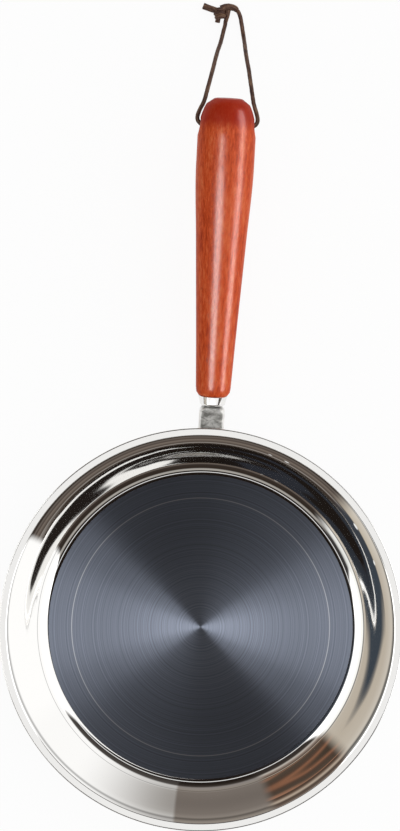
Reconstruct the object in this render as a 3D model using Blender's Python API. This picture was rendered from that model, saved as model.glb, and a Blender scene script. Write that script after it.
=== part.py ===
"""Frying pan: drawn steel bowl on a bonded base disc, with a wooden handle and a leather hanging loop.

Units are metres. +Z is up and the pan stands on z = 0, with the bowl's axis on the Z axis.
The handle points along +Y and rises from the bracket.
"""

from math import cos, pi, radians, sin, tan

import bmesh
import bpy
from mathutils import Matrix, Vector

MM = 0.001

# General fits
GAP = 0.3 * MM
SCREW_CLEARANCE = 0.3 * MM

# Points or lengths closer than this count as the same
SAME = 0.001 * MM

# Base disc under the bowl
BASE_CORE_RADIUS = 78.6 * MM
BASE_CORE_THICKNESS = 5.0 * MM
BASE_CORE_EDGE = 0.8 * MM
BASE_CAP_SHEET = 0.8 * MM
BASE_CAP_CORNER = 2.0 * MM

# Bowl, drawn from one sheet
SHELL_SHEET = 1.0 * MM
FLOOR_EDGE_RADIUS = 91.5 * MM
RIM_RADIUS = 120.0 * MM
FLOOR_FILLET = 12.0 * MM
WALL_SLOPE = radians(45.0)
FLARE_RADIUS = 48.0 * MM
FLARE_END_SLOPE = radians(37.0)
CREASE_RADIUS = 1.5 * MM
LIP_SLOPE = radians(12.0)
LIP_LENGTH = 3.6 * MM

# Handle line: where the bracket's end face stands from the rim, and how steeply the handle rises
HANDLE_BEYOND_RIM = 13.9 * MM
HANDLE_BELOW_RIM = 8.86 * MM
HANDLE_RISE = radians(10.0)

# Stamped bracket
BRACKET_WIDTH = 15.4 * MM
BRACKET_HEIGHT = 12.0 * MM
BRACKET_SHEET = 1.6 * MM
BRACKET_CORNER = 4.0 * MM
BRACKET_EDGE_ROUNDING = 1.5 * MM
BRACKET_REACH = 32.0 * MM
WELD_PAD_HALF_ANGLE = radians(8.0)
WELD_PAD_BELOW_FLARE = 3.6 * MM
WELD_PAD_LENGTH = 11.5 * MM
WELD_PAD_CORNER = 3.5 * MM
WELD_DIMPLE_RADIUS = 1.8 * MM
WELD_DIMPLE_FLOOR_RADIUS = 1.1 * MM
WELD_DIMPLE_DEPTH = 0.5 * MM
WELD_DIMPLE_SPREAD = radians(5.9)
WELD_DIMPLES_AT = (3.5 * MM, 8.0 * MM)

# Screw and washer
SCREW_RADIUS = 2.4 * MM
THREAD_DEPTH = 0.5 * MM
THREAD_PITCH = 2.2 * MM
THREAD_TURNS = 12
SCREW_LENGTH = 52.0 * MM
SCREW_HEAD_RADIUS = 4.4 * MM
SCREW_HEAD_HEIGHT = 3.2 * MM
SCREW_HEAD_EDGE = 0.6 * MM
SCREW_SOCKET_RADIUS = 2.3 * MM
SCREW_SOCKET_DEPTH = 1.9 * MM
WASHER_RADIUS = 4.3 * MM
WASHER_THICKNESS = 1.2 * MM
WASHER_SPLIT = 0.9 * MM
WASHER_SPLIT_LEAN = radians(20.0)

# Ferrule
FERRULE_LENGTH = 6.4 * MM
FERRULE_FACE_RADIUS = 7.8 * MM
FERRULE_MOUTH_RADIUS = 8.85 * MM
FERRULE_CORNER = 2.2 * MM
FERRULE_END_WALL = 1.5 * MM
FERRULE_BORE = 7.0 * MM

# Wooden grip, radii at distances from its shoulder
GRIP_LENGTH = 177.0 * MM
GRIP_COLLAR_RADIUS = 10.1 * MM
GRIP_COLLAR_AT = 1.8 * MM
GRIP_NECK_RADIUS = 10.5 * MM
GRIP_NECK_AT = 4.5 * MM
GRIP_SLIM_RADIUS = 12.0 * MM
GRIP_SLIM_AT = 36.0 * MM
GRIP_SWELL_RADIUS = 15.0 * MM
GRIP_SWELL_AT = 93.0 * MM
GRIP_FULL_RADIUS = 17.2 * MM
GRIP_FULL_AT = 138.0 * MM
GRIP_BUTT_AT = 155.0 * MM
GRIP_BUTT_CURVE = 42.0 * MM
GRIP_SHOULDER_AT = 172.6 * MM
GRIP_CHAMFER_RADIUS = 11.6 * MM
GRIP_CHAMFER_HEIGHT = 2.2 * MM
GRIP_END_RADIUS = 7.2 * MM
GRIP_END_ROUNDING = 0.6 * MM
GRIP_TENON_LENGTH = 4.9 * MM
LACE_HOLE_FROM_END = 16.4 * MM
LACE_HOLE_RADIUS = 2.0 * MM
LACE_HOLE_MOUTH_RADIUS = 6.2 * MM
LACE_HOLE_MOUTH_DEPTH = 4.6 * MM

# Leather lace
LACE_DIAMETER = 2.5 * MM
LACE_SAMPLE = 3.0 * MM
KNOT_CENTRE = Vector((-7.6, 371.8, 3.9)) * MM
KNOT_HALF_SIZE = Vector((3.6, 4.4, 3.6)) * MM
KNOT_WRAP_RADIUS = 2.7 * MM
KNOT_WRAP_OPENING = radians(45.0)
KNOT_WRAP_TURN = (radians(70.0), 0.0, radians(25.0))
TAIL_SPREAD = 0.3 * MM
LONG_TAIL_TIP = Vector((-18.3, 376.6, 1.9)) * MM
SHORT_TAIL_TIP = Vector((-9.2, 367.0, 1.9)) * MM

# The lace's route in millimetres, from the knot down the left strand, through the handle and back
LACE_ROUTE = [
    (-4.9, 367.4, 3.1),
    (-4.3, 365.4, 2.2),
    (-4.8, 362.6, 1.6),
    (-5.6, 358.6, 3.6),
    (-6.5, 353.4, 9.5),
    (-7.8, 347.8, 18.0),
    (-9.0, 341.8, 26.5),
    (-10.0, 335.0, 34.1),
    (-11.6, 327.6, 40.2),
    (-13.3, 320.4, 44.1),
    (-15.4, 313.4, 46.5),
    (-17.3, 308.2, 47.4),
    (-18.0, 304.4, 47.5),
    (-17.2, 301.5, 47.5),
    (-15.4, 299.6, 47.5),
    (-12.7, 298.95, 47.4),
    (-6.0, 298.95, 47.4),
    (0.0, 298.95, 47.4),
    (6.0, 298.95, 47.4),
    (12.7, 298.95, 47.4),
    (15.4, 299.6, 47.5),
    (17.2, 301.5, 47.5),
    (18.0, 304.4, 47.5),
    (17.3, 308.2, 47.4),
    (15.6, 313.4, 46.5),
    (13.8, 320.4, 44.1),
    (12.2, 327.6, 40.2),
    (10.8, 335.0, 34.1),
    (9.8, 341.8, 26.5),
    (8.9, 347.8, 18.0),
    (8.2, 353.4, 9.5),
    (7.4, 358.6, 3.6),
    (6.6, 362.8, 1.6),
    (5.7, 367.0, 1.6),
    (4.9, 370.4, 1.7),
    (3.7, 373.4, 2.0),
    (1.8, 375.6, 2.4),
    (-0.6, 376.6, 2.9),
    (-3.1, 376.2, 3.5),
]

# Facet counts
BOWL_SEGMENTS = 64
ROUND_SEGMENTS = 32
SMALL_SEGMENTS = 20
KNOT_SEGMENTS = 16
KNOT_WRAP_STEPS = 7
TAIL_SEGMENTS = 10
DIMPLE_SEGMENTS = 12
HEXAGON_SIDES = 6
FINE_ARC_STEPS = 4
EDGE_ROUNDING_STEPS = 3
WELD_PAD_STEPS = 8
GRIP_STEPS = 18
BUTT_STEPS = 4
ROUTE_STEPS = 20
SMOOTH_ANGLE = radians(35.0)

# Heights that follow from the sheet thicknesses
CORE_BOTTOM_Z = BASE_CAP_SHEET + GAP
CORE_TOP_Z = CORE_BOTTOM_Z + BASE_CORE_THICKNESS
SHELL_UNDERSIDE_Z = CORE_TOP_Z + GAP
FLOOR_Z = SHELL_UNDERSIDE_Z + SHELL_SHEET

# Distances along the handle line from the bracket's end face
FERRULE_START = GAP
FERRULE_END = FERRULE_START + FERRULE_LENGTH
GRIP_START = FERRULE_END + GAP
GRIP_END = GRIP_START + GRIP_LENGTH
LACE_HOLE_AT = GRIP_END - LACE_HOLE_FROM_END
SCREW_HOLE_RADIUS = SCREW_RADIUS + SCREW_CLEARANCE
WASHER_TOP = -(BRACKET_SHEET + GAP)
WASHER_BOTTOM = WASHER_TOP - WASHER_THICKNESS
SCREW_SEAT = WASHER_BOTTOM - GAP
SCREW_TIP = SCREW_SEAT + SCREW_LENGTH


def clear_scene():
    """Remove every object, so that the script starts from nothing."""
    for item in list(bpy.data.objects):
        bpy.data.objects.remove(item, do_unlink=True)


def make_material(name, colour, roughness, metallic):
    """Return a Principled BSDF material."""
    material = bpy.data.materials.new(name)
    material.use_nodes = True
    shader = material.node_tree.nodes["Principled BSDF"]
    shader.inputs["Base Color"].default_value = (*colour, 1.0)
    shader.inputs["Roughness"].default_value = roughness
    shader.inputs["Metallic"].default_value = metallic
    return material


def link_object(name, data, material=None, parent=None):
    """Put mesh or curve data in the scene under a name."""
    item = bpy.data.objects.new(name, data)
    bpy.context.scene.collection.objects.link(item)
    if material is not None:
        data.materials.append(material)
    item.parent = parent
    return item


def mesh_from(name, bm):
    """Turn a bmesh into a mesh whose faces point out and whose round faces are shaded smooth."""
    bmesh.ops.recalc_face_normals(bm, faces=bm.faces)
    mesh = bpy.data.meshes.new(name)
    bm.to_mesh(mesh)
    bm.free()
    mesh.shade_smooth()
    mesh.set_sharp_from_angle(angle=SMOOTH_ANGLE)
    return mesh


def arc(centre, radius, start, end, steps):
    """Points of a circular arc in the plane of an outline, from one angle to another."""
    points = []
    for index in range(steps + 1):
        angle = start + (end - start) * index / steps
        points.append((centre[0] + radius * cos(angle), centre[1] + radius * sin(angle)))
    return points


def turned_mesh(name, outline, segments):
    """Spin an outline of (radius, height) points round the Z axis into one closed body.

    An outline that starts and ends on the axis is left open there. Any other is closed first.
    """
    bm = bmesh.new()
    verts = [bm.verts.new((radius, 0.0, height)) for radius, height in outline]
    pairs = list(zip(verts, verts[1:]))
    if outline[0][0] > 0.0:
        pairs.append((verts[-1], verts[0]))
    edges = [bm.edges.new(pair) for pair in pairs]
    bmesh.ops.spin(
        bm,
        geom=verts + edges,
        cent=(0.0, 0.0, 0.0),
        axis=(0.0, 0.0, 1.0),
        angle=2.0 * pi,
        steps=segments,
        use_merge=True,
    )
    bmesh.ops.remove_doubles(bm, verts=bm.verts, dist=SAME)
    return mesh_from(name, bm)


def make_cutter(name, mesh, parent=None):
    """Add a shape that only cuts or joins others, hidden from renders."""
    cutter = link_object(name, mesh, parent=parent)
    cutter.display_type = "WIRE"
    cutter.hide_render = True
    return cutter


def combine(item, other, operation):
    """Add a Boolean that keeps the exact solver."""
    modifier = item.modifiers.new(other.name, "BOOLEAN")
    modifier.operation = operation
    modifier.solver = "EXACT"
    modifier.object = other


def wall_path(depth):
    """Outline of the bowl from the floor's edge to the lip's end, this far below the inner face."""
    fillet = FLOOR_FILLET + depth
    flare = FLARE_RADIUS - depth
    crease = CREASE_RADIUS - depth
    up_right = pi / 2.0
    fillet_centre = (FLOOR_EDGE_RADIUS, FLOOR_Z + FLOOR_FILLET)
    points = arc(fillet_centre, fillet, -up_right, WALL_SLOPE - up_right, 2 * FINE_ARC_STEPS)
    flare_centre = flare_arc_centre()
    points += arc(flare_centre, flare, WALL_SLOPE + up_right, FLARE_END_SLOPE + up_right, FINE_ARC_STEPS)
    crease_centre = crease_arc_centre()
    points += arc(crease_centre, crease, FLARE_END_SLOPE + up_right, LIP_SLOPE + up_right, 2)[1:]
    end_radius, end_height = points[-1]
    points.append((end_radius + LIP_LENGTH * cos(LIP_SLOPE), end_height + LIP_LENGTH * sin(LIP_SLOPE)))
    return points


def straight_wall_width():
    """Width left for the straight part of the wall once its curves and the lip are placed."""
    curves = FLOOR_FILLET * sin(WALL_SLOPE)
    curves += FLARE_RADIUS * (sin(WALL_SLOPE) - sin(FLARE_END_SLOPE))
    curves += CREASE_RADIUS * (sin(FLARE_END_SLOPE) - sin(LIP_SLOPE))
    return RIM_RADIUS - FLOOR_EDGE_RADIUS - curves - LIP_LENGTH * cos(LIP_SLOPE)


def wall_start():
    """Lower end of the wall's straight part on the inner face."""
    radius = FLOOR_EDGE_RADIUS + FLOOR_FILLET * sin(WALL_SLOPE)
    height = FLOOR_Z + FLOOR_FILLET * (1.0 - cos(WALL_SLOPE))
    return radius, height


def wall_end():
    """Upper end of the wall's straight part on the inner face."""
    radius, height = wall_start()
    width = straight_wall_width()
    return radius + width, height + width * tan(WALL_SLOPE)


def flare_arc_centre():
    """Centre of the arc that turns the wall outward, below the upper end of its straight part."""
    radius, height = wall_end()
    return radius + FLARE_RADIUS * sin(WALL_SLOPE), height - FLARE_RADIUS * cos(WALL_SLOPE)


def crease_arc_centre():
    """Centre of the small arc between the flare and the lip."""
    centre_radius, centre_height = flare_arc_centre()
    inset = FLARE_RADIUS - CREASE_RADIUS
    return centre_radius - inset * sin(FLARE_END_SLOPE), centre_height + inset * cos(FLARE_END_SLOPE)


def build_pan_shell(material):
    """Bowl with a flat floor, an S-shaped wall and a nearly flat lip, all of one sheet."""
    inner = [(0.0, FLOOR_Z)] + wall_path(0.0)
    outer = wall_path(SHELL_SHEET)
    outer.reverse()
    outline = inner + outer + [(0.0, SHELL_UNDERSIDE_Z)]
    return link_object("pan_shell", turned_mesh("pan_shell", outline, BOWL_SEGMENTS), material)


def build_base_core(material):
    """Heat-spreading disc with chamfered edges."""
    radius = BASE_CORE_RADIUS
    edge = BASE_CORE_EDGE
    outline = [
        (0.0, CORE_BOTTOM_Z),
        (radius - edge, CORE_BOTTOM_Z),
        (radius, CORE_BOTTOM_Z + edge),
        (radius, CORE_TOP_Z - edge),
        (radius - edge, CORE_TOP_Z),
        (0.0, CORE_TOP_Z),
    ]
    return link_object("base_core", turned_mesh("base_core", outline, BOWL_SEGMENTS), material)


def build_base_cap(material):
    """Shallow steel pan round the core. Its flat bottom is what the object stands on."""
    inner_radius = BASE_CORE_RADIUS + GAP
    outer_radius = inner_radius + BASE_CAP_SHEET
    corner = BASE_CAP_CORNER
    top = SHELL_UNDERSIDE_Z - GAP
    corner_centre = (outer_radius - corner, corner)
    inner_corner = corner - BASE_CAP_SHEET
    inner_centre = (inner_radius - inner_corner, BASE_CAP_SHEET + inner_corner)
    outer = arc(corner_centre, corner, -pi / 2.0, 0.0, FINE_ARC_STEPS)
    inner = arc(inner_centre, inner_corner, 0.0, -pi / 2.0, FINE_ARC_STEPS)
    outline = [(0.0, 0.0)] + outer + [(outer_radius, top), (inner_radius, top)] + inner
    outline.append((0.0, BASE_CAP_SHEET))
    return link_object("base_cap", turned_mesh("base_cap", outline, BOWL_SEGMENTS), material)


def add_handle_line():
    """Empty on the handle's axis at the bracket's end face, with its Y axis along the handle."""
    line = bpy.data.objects.new("handle_line", None)
    bpy.context.scene.collection.objects.link(line)
    rim_height = wall_path(0.0)[-1][1]
    line.location = (0.0, RIM_RADIUS + HANDLE_BEYOND_RIM, rim_height - HANDLE_BELOW_RIM)
    line.rotation_euler = (HANDLE_RISE, 0.0, 0.0)
    return line


def turned_on_handle(name, outline, segments, handle_line, material):
    """Turned piece whose outline heights run along the handle line."""
    item = link_object(name, turned_mesh(name, outline, segments), material, handle_line)
    item.rotation_euler = (-pi / 2.0, 0.0, 0.0)
    return item


def cutter_on_handle(name, outline, segments, handle_line):
    """Turned cutter whose outline heights run along the handle line."""
    cutter = make_cutter(name, turned_mesh(name, outline, segments), handle_line)
    cutter.rotation_euler = (-pi / 2.0, 0.0, 0.0)
    return cutter


def channel_plan(inset, start):
    """Plan of the bracket's channel: straight sides and a rounded end, drawn inward by the inset."""
    half_width = BRACKET_WIDTH / 2.0 - inset
    end = -inset
    corner = BRACKET_CORNER - inset
    left = arc((-half_width + corner, end - corner), corner, pi, pi / 2.0, FINE_ARC_STEPS)
    right = arc((half_width - corner, end - corner), corner, pi / 2.0, 0.0, FINE_ARC_STEPS)
    return [(-half_width, start)] + left + right + [(half_width, start)]


def channel_prism(name, inset, start, bottom, top, rounding):
    """Upright prism on a channel plan, with its upper rim rounded where the sheet is bent."""
    bm = bmesh.new()
    base = bm.faces.new([bm.verts.new((x, y, bottom)) for x, y in channel_plan(inset, start)])
    extruded = bmesh.ops.extrude_face_region(bm, geom=[base])
    upper = [item for item in extruded["geom"] if isinstance(item, bmesh.types.BMVert)]
    bmesh.ops.translate(bm, verts=upper, vec=(0.0, 0.0, top - bottom))
    if rounding > 0.0:
        rim = [edge for edge in bm.edges
               if all(vert in upper for vert in edge.verts)
               and not all(abs(vert.co.y - start) < SAME for vert in edge.verts)]
        bmesh.ops.bevel(
            bm,
            geom=rim,
            offset=rounding,
            segments=EDGE_ROUNDING_STEPS,
            affect="EDGES",
            profile=0.5,
        )
    return mesh_from(name, bm)


def weld_pad_mesh():
    """Saddle that lies along the straight part of the wall, under the channel's end."""
    radius, height = wall_end()
    along = Vector((cos(WALL_SLOPE), 0.0, sin(WALL_SLOPE)))
    outward = Vector((sin(WALL_SLOPE), 0.0, -cos(WALL_SLOPE)))
    start = Vector((radius, 0.0, height)) - along * (WELD_PAD_BELOW_FLARE + WELD_PAD_LENGTH)
    near = start + outward * (SHELL_SHEET + GAP)
    far = near + outward * BRACKET_SHEET
    corners = [near, near + along * WELD_PAD_LENGTH, far + along * WELD_PAD_LENGTH, far]
    bm = bmesh.new()
    face = bm.faces.new([bm.verts.new(corner) for corner in corners])
    bmesh.ops.rotate(bm, verts=bm.verts, matrix=Matrix.Rotation(pi / 2.0 - WELD_PAD_HALF_ANGLE, 3, "Z"))
    bmesh.ops.spin(
        bm,
        geom=[face] + list(face.edges) + list(face.verts),
        cent=(0.0, 0.0, 0.0),
        axis=(0.0, 0.0, 1.0),
        angle=2.0 * WELD_PAD_HALF_ANGLE,
        steps=WELD_PAD_STEPS,
    )
    bmesh.ops.recalc_face_normals(bm, faces=bm.faces)
    round_pad_corners(bm)
    return mesh_from("weld_pad", bm)


def round_pad_corners(bm):
    """Round the four corners of the saddle, which are its short edges at both ends."""
    corner_edges = []
    for edge in bm.edges:
        beyond = [abs(vert.co.x) - vert.co.y * tan(WELD_PAD_HALF_ANGLE) for vert in edge.verts]
        at_end = all(abs(value) < SAME for value in beyond)
        if at_end and abs(edge.calc_length() - BRACKET_SHEET) < SAME:
            corner_edges.append(edge)
    bmesh.ops.bevel(
        bm,
        geom=corner_edges,
        offset=WELD_PAD_CORNER,
        segments=FINE_ARC_STEPS,
        affect="EDGES",
        profile=0.5,
    )


def bowl_envelope_mesh():
    """Solid that fills the bowl out to one gap beyond its outer face, for trimming what meets it."""
    path = wall_path(SHELL_SHEET + GAP)
    underside = SHELL_UNDERSIDE_Z - GAP
    above = path[-1][1] + FLARE_RADIUS
    outline = [(0.0, underside)] + path + [(path[-1][0], above), (0.0, above)]
    return turned_mesh("bowl_envelope", outline, BOWL_SEGMENTS)


def weld_dimple_mesh():
    """Four shallow discs that press the spot-weld marks into the saddle."""
    radius, height = wall_end()
    along = Vector((0.0, cos(WALL_SLOPE), sin(WALL_SLOPE)))
    outward = Vector((0.0, sin(WALL_SLOPE), -cos(WALL_SLOPE)))
    face = Vector((0.0, radius, height)) + outward * (SHELL_SHEET + GAP + BRACKET_SHEET)
    bm = bmesh.new()
    for side in (-1.0, 1.0):
        for distance in WELD_DIMPLES_AT:
            place = face - along * (WELD_PAD_BELOW_FLARE + distance)
            turn = Matrix.Rotation(side * WELD_DIMPLE_SPREAD, 4, "Z")
            stand = outward.to_track_quat("Z", "Y").to_matrix().to_4x4()
            bmesh.ops.create_cone(
                bm,
                cap_ends=True,
                segments=DIMPLE_SEGMENTS,
                radius1=WELD_DIMPLE_FLOOR_RADIUS,
                radius2=2.0 * WELD_DIMPLE_RADIUS - WELD_DIMPLE_FLOOR_RADIUS,
                depth=2.0 * WELD_DIMPLE_DEPTH,
                matrix=turn @ Matrix.Translation(place) @ stand,
            )
    return mesh_from("weld_dimples", bm)


def build_handle_bracket(handle_line, material):
    """Channel with a closed, rounded end, whose other end is trimmed to the wall and welded to it."""
    half_height = BRACKET_HEIGHT / 2.0
    outer = channel_prism(
        "handle_bracket", 0.0, -BRACKET_REACH, -half_height, half_height, BRACKET_EDGE_ROUNDING)
    bracket = link_object("handle_bracket", outer, material, handle_line)
    pad = make_cutter("weld_pad", weld_pad_mesh())
    below = -half_height - BRACKET_HEIGHT
    hollow_mesh = channel_prism(
        "channel_hollow", BRACKET_SHEET, -2.0 * BRACKET_REACH, below, half_height - BRACKET_SHEET, 0.0)
    hollow = make_cutter("channel_hollow", hollow_mesh, handle_line)
    envelope = make_cutter("bowl_envelope", bowl_envelope_mesh())
    hole_outline = [
        (0.0, -2.0 * BRACKET_SHEET),
        (SCREW_HOLE_RADIUS, -2.0 * BRACKET_SHEET),
        (SCREW_HOLE_RADIUS, BRACKET_SHEET),
        (0.0, BRACKET_SHEET),
    ]
    hole = cutter_on_handle("screw_hole", hole_outline, SMALL_SEGMENTS, handle_line)
    dimples = make_cutter("weld_dimples", weld_dimple_mesh())
    combine(bracket, pad, "UNION")
    combine(bracket, hollow, "DIFFERENCE")
    combine(bracket, envelope, "DIFFERENCE")
    combine(bracket, hole, "DIFFERENCE")
    combine(bracket, dimples, "DIFFERENCE")
    return bracket


def build_lock_washer(handle_line, material):
    """Spring washer with its split."""
    outline = [
        (SCREW_HOLE_RADIUS, WASHER_BOTTOM),
        (WASHER_RADIUS, WASHER_BOTTOM),
        (WASHER_RADIUS, WASHER_TOP),
        (SCREW_HOLE_RADIUS, WASHER_TOP),
    ]
    washer = turned_on_handle("lock_washer", outline, SMALL_SEGMENTS, handle_line, material)
    bm = bmesh.new()
    bmesh.ops.create_cube(bm, size=1.0)
    bmesh.ops.scale(bm, verts=bm.verts, vec=(WASHER_SPLIT, 4.0 * WASHER_THICKNESS, WASHER_RADIUS))
    split = make_cutter("washer_split", mesh_from("washer_split", bm), handle_line)
    split.location = (0.0, (WASHER_TOP + WASHER_BOTTOM) / 2.0, SCREW_HOLE_RADIUS + WASHER_RADIUS / 4.0)
    split.rotation_euler = (0.0, 0.0, WASHER_SPLIT_LEAN)
    combine(washer, split, "DIFFERENCE")
    return washer


def screw_outline():
    """Outline of the long wood screw, from the top of its head to its point."""
    head_top = SCREW_SEAT - SCREW_HEAD_HEIGHT
    root = SCREW_RADIUS - THREAD_DEPTH
    thread_start = SCREW_TIP - THREAD_PITCH * (THREAD_TURNS + 1)
    outline = [
        (0.0, head_top),
        (SCREW_HEAD_RADIUS - SCREW_HEAD_EDGE, head_top),
        (SCREW_HEAD_RADIUS, head_top + SCREW_HEAD_EDGE),
        (SCREW_HEAD_RADIUS, SCREW_SEAT),
        (SCREW_RADIUS, SCREW_SEAT),
        (SCREW_RADIUS, thread_start - THREAD_DEPTH),
    ]
    for turn in range(THREAD_TURNS):
        place = thread_start + turn * THREAD_PITCH
        outline.append((root, place))
        outline.append((SCREW_RADIUS, place + THREAD_PITCH / 2.0))
    outline.append((root, SCREW_TIP - THREAD_PITCH))
    outline.append((0.0, SCREW_TIP))
    return outline


def build_handle_screw(handle_line, material):
    """Wood screw with a hexagon socket. Its thread is drawn as ridges at the thread's pitch."""
    screw = turned_on_handle("handle_screw", screw_outline(), SMALL_SEGMENTS, handle_line, material)
    head_top = SCREW_SEAT - SCREW_HEAD_HEIGHT
    socket_outline = [
        (0.0, head_top - SCREW_SOCKET_DEPTH),
        (SCREW_SOCKET_RADIUS, head_top - SCREW_SOCKET_DEPTH),
        (SCREW_SOCKET_RADIUS, head_top + SCREW_SOCKET_DEPTH),
        (0.0, head_top + SCREW_SOCKET_DEPTH),
    ]
    socket = cutter_on_handle("screw_socket", socket_outline, HEXAGON_SIDES, handle_line)
    combine(screw, socket, "DIFFERENCE")
    return screw


def build_ferrule(handle_line, material):
    """Cup between the bracket and the wood, with a round corner at the bracket."""
    corner_centre = (FERRULE_FACE_RADIUS - FERRULE_CORNER, FERRULE_START + FERRULE_CORNER)
    corner = arc(corner_centre, FERRULE_CORNER, -pi / 2.0, 0.0, FINE_ARC_STEPS)
    cup_floor = FERRULE_START + FERRULE_END_WALL
    outline = [(SCREW_HOLE_RADIUS, FERRULE_START)] + corner
    outline += [
        (FERRULE_MOUTH_RADIUS, FERRULE_END),
        (FERRULE_BORE, FERRULE_END),
        (FERRULE_BORE, cup_floor),
        (SCREW_HOLE_RADIUS, cup_floor),
    ]
    return turned_on_handle("ferrule", outline, ROUND_SEGMENTS, handle_line, material)


def grip_radius(distance):
    """Radius of the grip's long side at a distance from its shoulder, on a smooth curve."""
    stations = [
        (GRIP_NECK_AT, GRIP_NECK_RADIUS),
        (GRIP_SLIM_AT, GRIP_SLIM_RADIUS),
        (GRIP_SWELL_AT, GRIP_SWELL_RADIUS),
        (GRIP_FULL_AT, GRIP_FULL_RADIUS),
        (GRIP_BUTT_AT, GRIP_FULL_RADIUS),
    ]
    slopes = [(stations[1][1] - stations[0][1]) / (stations[1][0] - stations[0][0])]
    for before, after in zip(stations, stations[2:]):
        slopes.append((after[1] - before[1]) / (after[0] - before[0]))
    slopes[-1] = 0.0
    slopes.append(0.0)
    for index in range(len(stations) - 1):
        start, start_radius = stations[index]
        end, end_radius = stations[index + 1]
        if distance <= end or index == len(stations) - 2:
            span = end - start
            t = (distance - start) / span
            value = (2 * t ** 3 - 3 * t ** 2 + 1) * start_radius
            value += (t ** 3 - 2 * t ** 2 + t) * span * slopes[index]
            value += (3 * t ** 2 - 2 * t ** 3) * end_radius
            value += (t ** 3 - t ** 2) * span * slopes[index + 1]
            return value
    return stations[-1][1]


def grip_outline():
    """Outline of the wood from the pilot bore's end, out round the tenon and along to the butt."""
    tenon_radius = FERRULE_BORE - GAP
    tenon_end = GRIP_START - GRIP_TENON_LENGTH
    bore_end = SCREW_TIP + GAP
    outline = [
        (0.0, bore_end),
        (SCREW_HOLE_RADIUS, bore_end - SCREW_HOLE_RADIUS),
        (SCREW_HOLE_RADIUS, tenon_end),
        (tenon_radius, tenon_end),
        (tenon_radius, GRIP_START),
        (FERRULE_MOUTH_RADIUS, GRIP_START),
        (GRIP_COLLAR_RADIUS, GRIP_START + GRIP_COLLAR_AT),
    ]
    for index in range(GRIP_STEPS + 1):
        distance = GRIP_NECK_AT + (GRIP_BUTT_AT - GRIP_NECK_AT) * index / GRIP_STEPS
        outline.append((grip_radius(distance), GRIP_START + distance))
    for index in range(1, BUTT_STEPS + 1):
        run = (GRIP_SHOULDER_AT - GRIP_BUTT_AT) * index / BUTT_STEPS
        drop = GRIP_BUTT_CURVE - (GRIP_BUTT_CURVE ** 2 - run ** 2) ** 0.5
        outline.append((GRIP_FULL_RADIUS - drop, GRIP_START + GRIP_BUTT_AT + run))
    outline += [
        (GRIP_CHAMFER_RADIUS, GRIP_END - GRIP_CHAMFER_HEIGHT),
        (GRIP_END_RADIUS + GRIP_END_ROUNDING, GRIP_END - GRIP_END_ROUNDING / 2.0),
        (GRIP_END_RADIUS - GRIP_END_ROUNDING, GRIP_END),
        (0.0, GRIP_END),
    ]
    return outline


def build_wooden_handle(handle_line, material):
    """Turned grip with a tenon, a pilot bore for the screw and a cross hole for the lace."""
    grip = turned_on_handle("wooden_handle", grip_outline(), ROUND_SEGMENTS, handle_line, material)
    half_width = GRIP_FULL_RADIUS
    mouth_floor = half_width - LACE_HOLE_MOUTH_DEPTH
    beyond = half_width + GAP
    hole_outline = [
        (0.0, -beyond),
        (LACE_HOLE_MOUTH_RADIUS, -beyond),
        (LACE_HOLE_RADIUS, -mouth_floor),
        (LACE_HOLE_RADIUS, mouth_floor),
        (LACE_HOLE_MOUTH_RADIUS, beyond),
        (0.0, beyond),
    ]
    hole = make_cutter("lace_hole", turned_mesh("lace_hole", hole_outline, SMALL_SEGMENTS), handle_line)
    hole.location = (0.0, LACE_HOLE_AT, 0.0)
    hole.rotation_euler = (0.0, pi / 2.0, 0.0)
    combine(grip, hole, "DIFFERENCE")
    return grip


def smooth_route(points, spacing):
    """Points at an even spacing along a smooth curve through the route's points."""
    dense = []
    ends = [points[0] * 2.0 - points[1]] + points + [points[-1] * 2.0 - points[-2]]
    for before, start, end, after in zip(ends, ends[1:], ends[2:], ends[3:]):
        for index in range(ROUTE_STEPS):
            t = index / ROUTE_STEPS
            dense.append(0.5 * (
                2.0 * start
                + (end - before) * t
                + (2.0 * before - 5.0 * start + 4.0 * end - after) * t ** 2
                + (3.0 * start - 3.0 * end + after - before) * t ** 3))
    dense.append(points[-1])
    total = sum((b - a).length for a, b in zip(dense, dense[1:]))
    count = round(total / spacing)
    route = [dense[0]]
    travelled = 0.0
    for a, b in zip(dense, dense[1:]):
        step = (b - a).length
        while len(route) < count and travelled + step >= total * len(route) / count:
            share = (total * len(route) / count - travelled) / step
            route.append(a.lerp(b, share))
        travelled += step
    route.append(dense[-1])
    return route


def build_cord_loop(material):
    """Leather lace from the knot through the handle's cross hole and back to the knot."""
    route = smooth_route([Vector(point) * MM for point in LACE_ROUTE], LACE_SAMPLE)
    curve = bpy.data.curves.new("cord_loop", "CURVE")
    curve.dimensions = "3D"
    curve.bevel_depth = LACE_DIAMETER / 2.0
    curve.bevel_resolution = 2
    curve.use_fill_caps = True
    spline = curve.splines.new("POLY")
    spline.points.add(len(route) - 1)
    for spline_point, place in zip(spline.points, route):
        spline_point.co = (*place, 1.0)
    return link_object("cord_loop", curve, material)


def tail_mesh(name, tip):
    """Round lace end from inside the knot to its tip."""
    bm = bmesh.new()
    run = tip - KNOT_CENTRE
    turn = run.to_track_quat("Z", "Y").to_matrix().to_4x4()
    bmesh.ops.create_cone(
        bm,
        cap_ends=True,
        segments=TAIL_SEGMENTS,
        radius1=LACE_DIAMETER / 2.0,
        radius2=LACE_DIAMETER / 2.0 + TAIL_SPREAD,
        depth=run.length,
        matrix=Matrix.Translation((tip + KNOT_CENTRE) / 2.0) @ turn,
    )
    return mesh_from(name, bm)


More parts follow.
